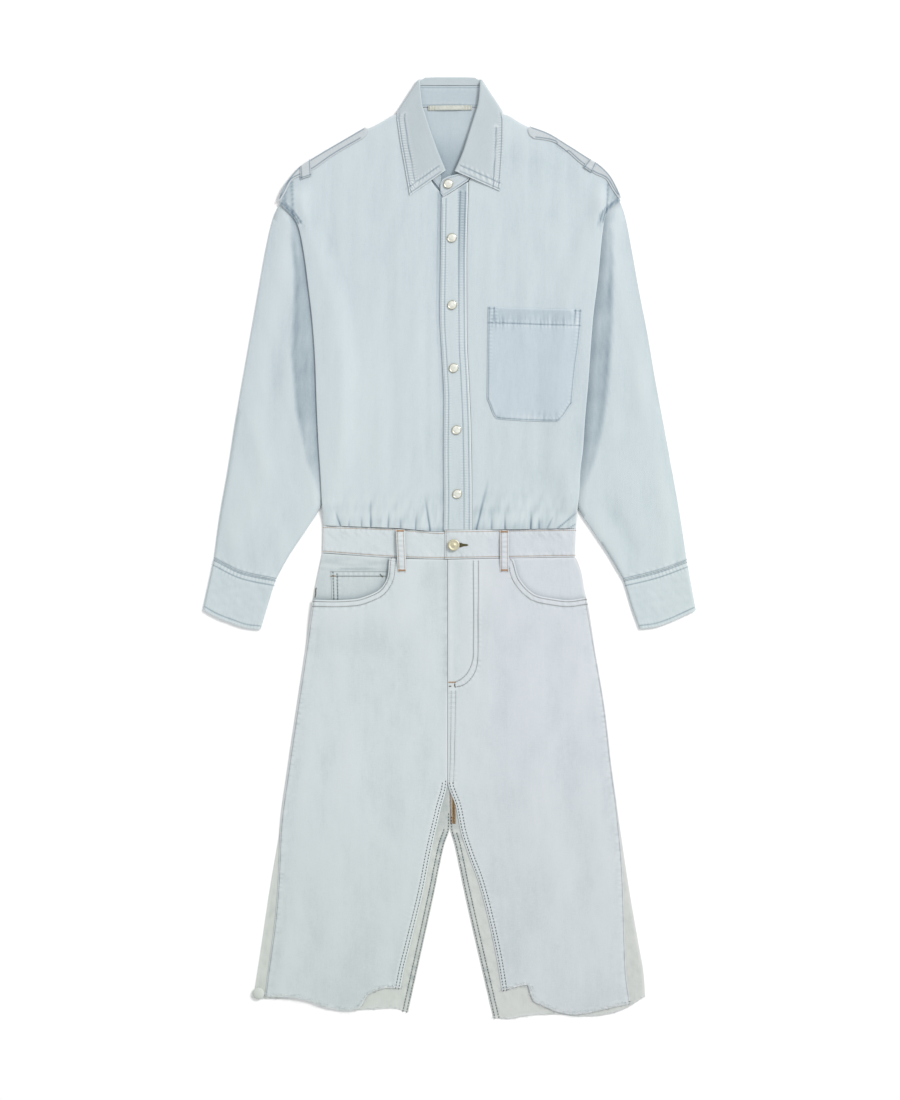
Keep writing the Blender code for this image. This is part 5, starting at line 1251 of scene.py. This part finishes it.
def makeFacings():
    level = cloth["wall"] + cloth["seam"]
    side = [(-165.6, -7.6), (-171.6, -36), (-175.5, -55), (-179, -79)]
    inner = [(-73, -13.8), (-73, -79)]
    mouth = np.array(mouthLeft[:8], float)

    def mouthShade(x, y):  # the cloth just inside the pocket's mouth is shaded and unfaded
        away = alongRow(mouth, x, y, 30)[0]
        drag = 0.035 * waves(x + 0.3 * y, y, 30, 3.6, 75) * ramp(y, -36, -22)
        shadow = np.exp(-(((y + 27.6) / 1.2) ** 2)) * ramp(x, -148, -140) * (1 - ramp(x, -112, -86))
        return drag - 0.20 * shadow - 0.20 * np.exp(-(away / 5.0) ** 1.5) - 0.05 * np.exp(-away / 22) - 0.03

    plan = panelPlan([side[0], inner[0]], [side[-1], inner[-1]], side, inner, stops(98, 1.8), stops(70, 1.8))
    facing = panel("pocketFacingLeft", plan, lambda x, y: level + 0 * x, cloth["wall"], [], jeansSeams, denimFacing,
                   "pocket_facing_left", mouthShade)
    tack(facing, "moss", [[(-173.8, -52.5), (-174.8, -56), (-174.4, -60), (-175.6, -65)]])
    side = [(162.2, -12.8), (171.2, -36), (174.2, -55), (179, -79)]
    inner = [(77, -13.8), (77, -79)]
    other = np.array(mouthRight[1:], float)
    plan = panelPlan([inner[0], side[0]], [inner[-1], side[-1]], inner, side, stops(98, 1.8), stops(70, 1.8))
    # darker beside the mouth: painted shade and unfaded blue, as in mouthShade
    panel("pocketFacingRight", plan, lambda x, y: level + 0 * x, cloth["wall"], [], jeansSeams, denimBand,
          "pocket_facing_right",
          lambda x, y: -0.14 * np.exp(-(alongRow(other, x, y, 30)[0] / 4.0) ** 1.5))
    side, inner = [(-154.5, -30), (-153, -79)], [(-84, -30), (-84, -79)]
    plan = panelPlan([side[0], inner[0]], [side[-1], inner[-1]], side, inner, stops(70, 1.3), stops(49, 1.2))
    rows = [edgeRow(plan, "top", 1.4), edgeRow(plan, "top", 7.4), edgeRow(plan, "left", 2.2, 0.05, 1),
            edgeRow(plan, "left", 7.4, 0.12, 1)]
    coin = panel("coinPocket", plan, lambda x, y: 2 * level + 0 * x, cloth["wall"], rows,
                 jeansSeams | {"dyeAndShade": 0.32, "wear": 0.05}, denimFacing, "coin_pocket",
                 mouthShade)
    sew(coin, "cream", rows[:1])
    sew(coin, "umber", rows[1:2])
    sew(coin, "grey", rows[2:])
    tack(coin, "amber", [[(-153.2, -37), (-149.6, -37.2)]])
    tack(coin, "moss", [[(-91, -34.4), (-87.6, -38.6)]])


def turned(name, profile, centre, sides, finish, node=None):
    # A round piece from rows of radius and height, first and last on the axis
    angle = 2 * np.pi * np.arange(sides) / sides
    points = [(0, 0, profile[0][1])]
    for radius, height in profile[1:-1]:
        points += [(radius * np.cos(a), radius * np.sin(a), height) for a in angle]
    points.append((0, 0, profile[-1][1]))
    last, faces = len(points) - 1, []
    for k in range(sides):
        m = (k + 1) % sides
        faces.append((0, 1 + m, 1 + k))
        for ring in range(len(profile) - 3):
            a = 1 + ring * sides
            faces.append((a + k, a + m, a + sides + m, a + sides + k))
        end = 1 + (len(profile) - 3) * sides
        faces.append((end + k, end + m, last))
    mesh = bpy.data.meshes.new(name)
    mesh.from_pydata(((np.array(points) + np.array(centre)) * mm).tolist(), [], faces)
    mesh.shade_smooth()
    mesh.set_sharp_from_angle(angle=0.9)
    mesh.materials.append(finish)
    made = newObject(name, mesh)
    settle(made, node)
    return made


def makeTrim():
    snap = {"radius": 6.0, "rim": 0.9, "height": 2.5, "sides": 28,
            "places": [(-2.0, 472.5), (2.6, 402.4), (3.0, 315.2), (4.9, 233.3), (8.6, 152.8), (9.6, 69.6)]}
    r, wall, high = snap["radius"], snap["rim"], snap["height"]
    turns = np.radians(np.linspace(-80, 90, 8))
    rim = [(0, 0), (r - 0.4, 0)] + [(r - wall / 2 + wall / 2 * np.cos(t), 1.0 + 0.8 * np.sin(t)) for t in turns]
    rim += [(r - wall, 1.5), (0, 1.5)]
    cap = [(0, 1.0), (r - wall - 0.05, 1.0), (r - wall - 0.05, 1.5), (3.8, 2.0), (2.6, 2.3), (1.2, 2.45), (0, high)]
    for number, (x, y) in enumerate(snap["places"], 1):
        height = lift["placket"] + cloth["placket"] + cloth["seam"] + (0.75 if number == 1 else 0)
        turned(f"snapRim{number}", rim, (x, y, height), snap["sides"], rimMetal, f"snap_{number}")
        turned(f"snapPearl{number}", cap, (x, y, height), snap["sides"], pearl)
    button = {"radius": 7.5, "place": (4.9, 3.2), "sides": 36}
    r = button["radius"]
    rows = [(0, 0), (3.2, 0), (3.2, 1.2), (r - 0.4, 1.5), (r, 2.0), (r, 3.0), (r - 0.3, 3.6), (r - 0.9, 3.9),
            (r - 1.8, 3.8), (r - 2.3, 3.5), (r - 3, 3.45), (1.6, 3.6), (1.0, 4.0), (0, 4.1)]
    height = float(underBandRight(*np.array(button["place"]))) + cloth["band"] + cloth["seam"]
    turned("jeansButton", rows, (*button["place"], height), button["sides"], brass, "jeans_button")


def makeSeamEnd():  # the rolled end of the side seam at the left hem
    look = {"place": (-249.0, -579.8, 1.05), "radius": 7.8, "height": 5.0, "sides": 28}
    r, h = look["radius"], look["height"]
    rows = [(0, 0), (0.8 * r, 0), (0.96 * r, 0.14 * h), (r, 0.34 * h), (0.93 * r, 0.6 * h), (0.7 * r, 0.84 * h),
            (0.35 * r, 0.97 * h), (0, h)]
    frays["skirtBackLeft"] = [turned("seamEnd", rows, look["place"], look["sides"], denimWrong)]


def makeMetals():
    pearl, shader, spot = newMaterial("pearl", {"Roughness": 0.25, "Coat Weight": 0.5, "Coat Roughness": 0.1})
    swirl = spot.noise(3.0, (1, 1, 1), 3.0, 6.0)
    join((0.5 + swirl * 1.8).clamp().between(linear((208, 211, 198)), linear((250, 250, 243))),
         shader.inputs["Base Color"])
    rim, shader, spot = newMaterial("rimMetal", {"Metallic": 1.0})
    join((0.5 + spot.noise(2.5, (1, 1, 1), 2.0, 2.0)).clamp().between((0.42, 0.38, 0.27), (0.66, 0.62, 0.50)),
         shader.inputs["Base Color"])
    join(0.34 + spot.noise(1.2, (1, 1, 1), 2.0, 3.0) * 0.3, shader.inputs["Roughness"])
    brass, shader, spot = newMaterial("antiqueBrass", {"Metallic": 0.85})
    join((0.5 + spot.noise(2.0, (1, 1, 1), 3.0, 7.0) * 1.4).clamp().between((0.52, 0.48, 0.33), (0.76, 0.72, 0.54)),
         shader.inputs["Base Color"])
    join(0.5 + spot.noise(1.0, (1, 1, 1), 2.0, 1.0) * 0.3, shader.inputs["Roughness"])
    return pearl, rim, brass


def makeThreads():
    # (pitch, length, thickness) of the beads in each colour, along a stitch row or across a tack
    # the grey beads are thicker than the thread, to carry the painted shade of their stitch holes too
    sewn = {"pale": (2.5, 1.9, 0.42), "cream": (2.8, 2.3, 0.56), "tan": (2.7, 2.4, 0.68), "rust": (3.0, 1.9, 0.5),
            "umber": (2.9, 2.2, 0.85), "grey": (3.9, 2.7, 1.15)}
    tacked = {"tan": (0.5, 2.4, 0.55), "amber": (0.8, 2.2, 0.55), "rust": (1.1, 2.6, 0.55), "moss": (0.4, 1.7, 0.42),
              "tape": (0.5, 1.0, 0.3)}
    recipe = stitchTree()
    for name, lines, sizes, turn, unevenness in (("stitches_", threads, sewn, 0.0, 1.0),
                                                 ("bartacks_", bars, tacked, 1.571, 1.5)):
        for colour, (pitch, length, thickness) in sizes.items():
            grow(name + colour, lines[colour], recipe,
                 {"Pitch": pitch * mm, "Length": length * mm, "Thickness": thickness * mm, "Turn": turn,
                  "Unevenness": unevenness, "Thread": threadFinish[colour]},
                 "shirt_denim" if colour == "pale" else "jeans_denim")


def makeFrays():
    recipe = frayTree()
    layers = ((yarnWhite, 1.9, 3.2, 0.05, 1.9, 11), (yarnBlue, 4.2, 2.6, 0.05, 2.4, 23))
    lowest = 0.8
    for side, front, back in (("Left", hemFrontLeft, hemBackLeft), ("Right", hemFrontRight, hemBackRight)):
        for part, hem in (("Front", front), ("Back", back)):
            piece = bpy.data.objects[f"skirt{part}{side}"]
            insides = (1.2, 2.6, 4.4) if part == "Front" else (1.6,)
            rows = drape(piece, [offsetLine(hem, -inside, 2.0) for inside in insides], threadLift["frayed"])
            for row in rows:
                row[:, 2] = np.maximum(row[:, 2], lowest)
            for yarn, pitch, length, thickness, turn, seed in layers:
                made = grow(f"fray{part}{side}_{yarn.name}", rows, recipe,
                            {"Pitch": pitch * mm, "Length": length * mm, "Thickness": thickness, "Spread": turn,
                             "Yarn": yarn, "Seed": seed}, "jeans_denim")
                frays.setdefault(piece.name, []).append(made)


def makeStudio():
    half, level = 4, -0.0005
    slab = bpy.data.meshes.new("floor")
    slab.from_pydata([(x, y, level) for x, y in ((-half, -half), (half, -half), (half, half), (-half, half))], [],
                     [(0, 1, 2, 3)])
    slab.materials.append(newMaterial("floorPaint", {"Roughness": 0.9, "Specular IOR Level": 0.1,
                                                     "Base Color": (0.96, 0.96, 0.96, 1)})[0])
    newObject("floor", slab)
    world = bpy.data.worlds.new("studio")
    bpy.context.scene.world = world
    world.use_nodes = True
    world.node_tree.nodes["Background"].inputs["Color"].default_value = (0.98, 0.99, 1.0, 1)
    world.node_tree.nodes["Background"].inputs["Strength"].default_value = lamp["world"]
    data = bpy.data.lights.new("key", "AREA")
    data.shape, data.size, data.energy, data.color = "DISK", lamp["size"], lamp["power"], (1.0, 0.985, 0.96)
    key = newObject("key", data)
    key.location = lamp["at"]
    key.rotation_euler = (-Vector(lamp["at"])).to_track_quat("-Z", "Y").to_euler()
    data = bpy.data.cameras.new("camera")
    data.lens, data.sensor_width = 100, 36
    camera = newObject("camera", data)
    camera.location = (0, -0.00325, 3.976)  # straight above; 1.43 m of floor fills the picture's height
    bpy.context.scene.camera = camera
    bpy.context.scene.view_settings.view_transform = "Standard"


pearl, rimMetal, brass = makeMetals()
makeBodice()
print("bodice made")
makePlacket()
makePocket()
makeCollar()
makeHanger()
makeStraps()
print("collar, straps and pocket made")
makeSleeves()
print("sleeves made")
makeWaistband()
makeSkirt()
makeFacings()
print("skirt made")
makeTrim()
makeSeamEnd()
makeThreads()
makeFrays()
print("trim, threads and frays made")
makeStudio()
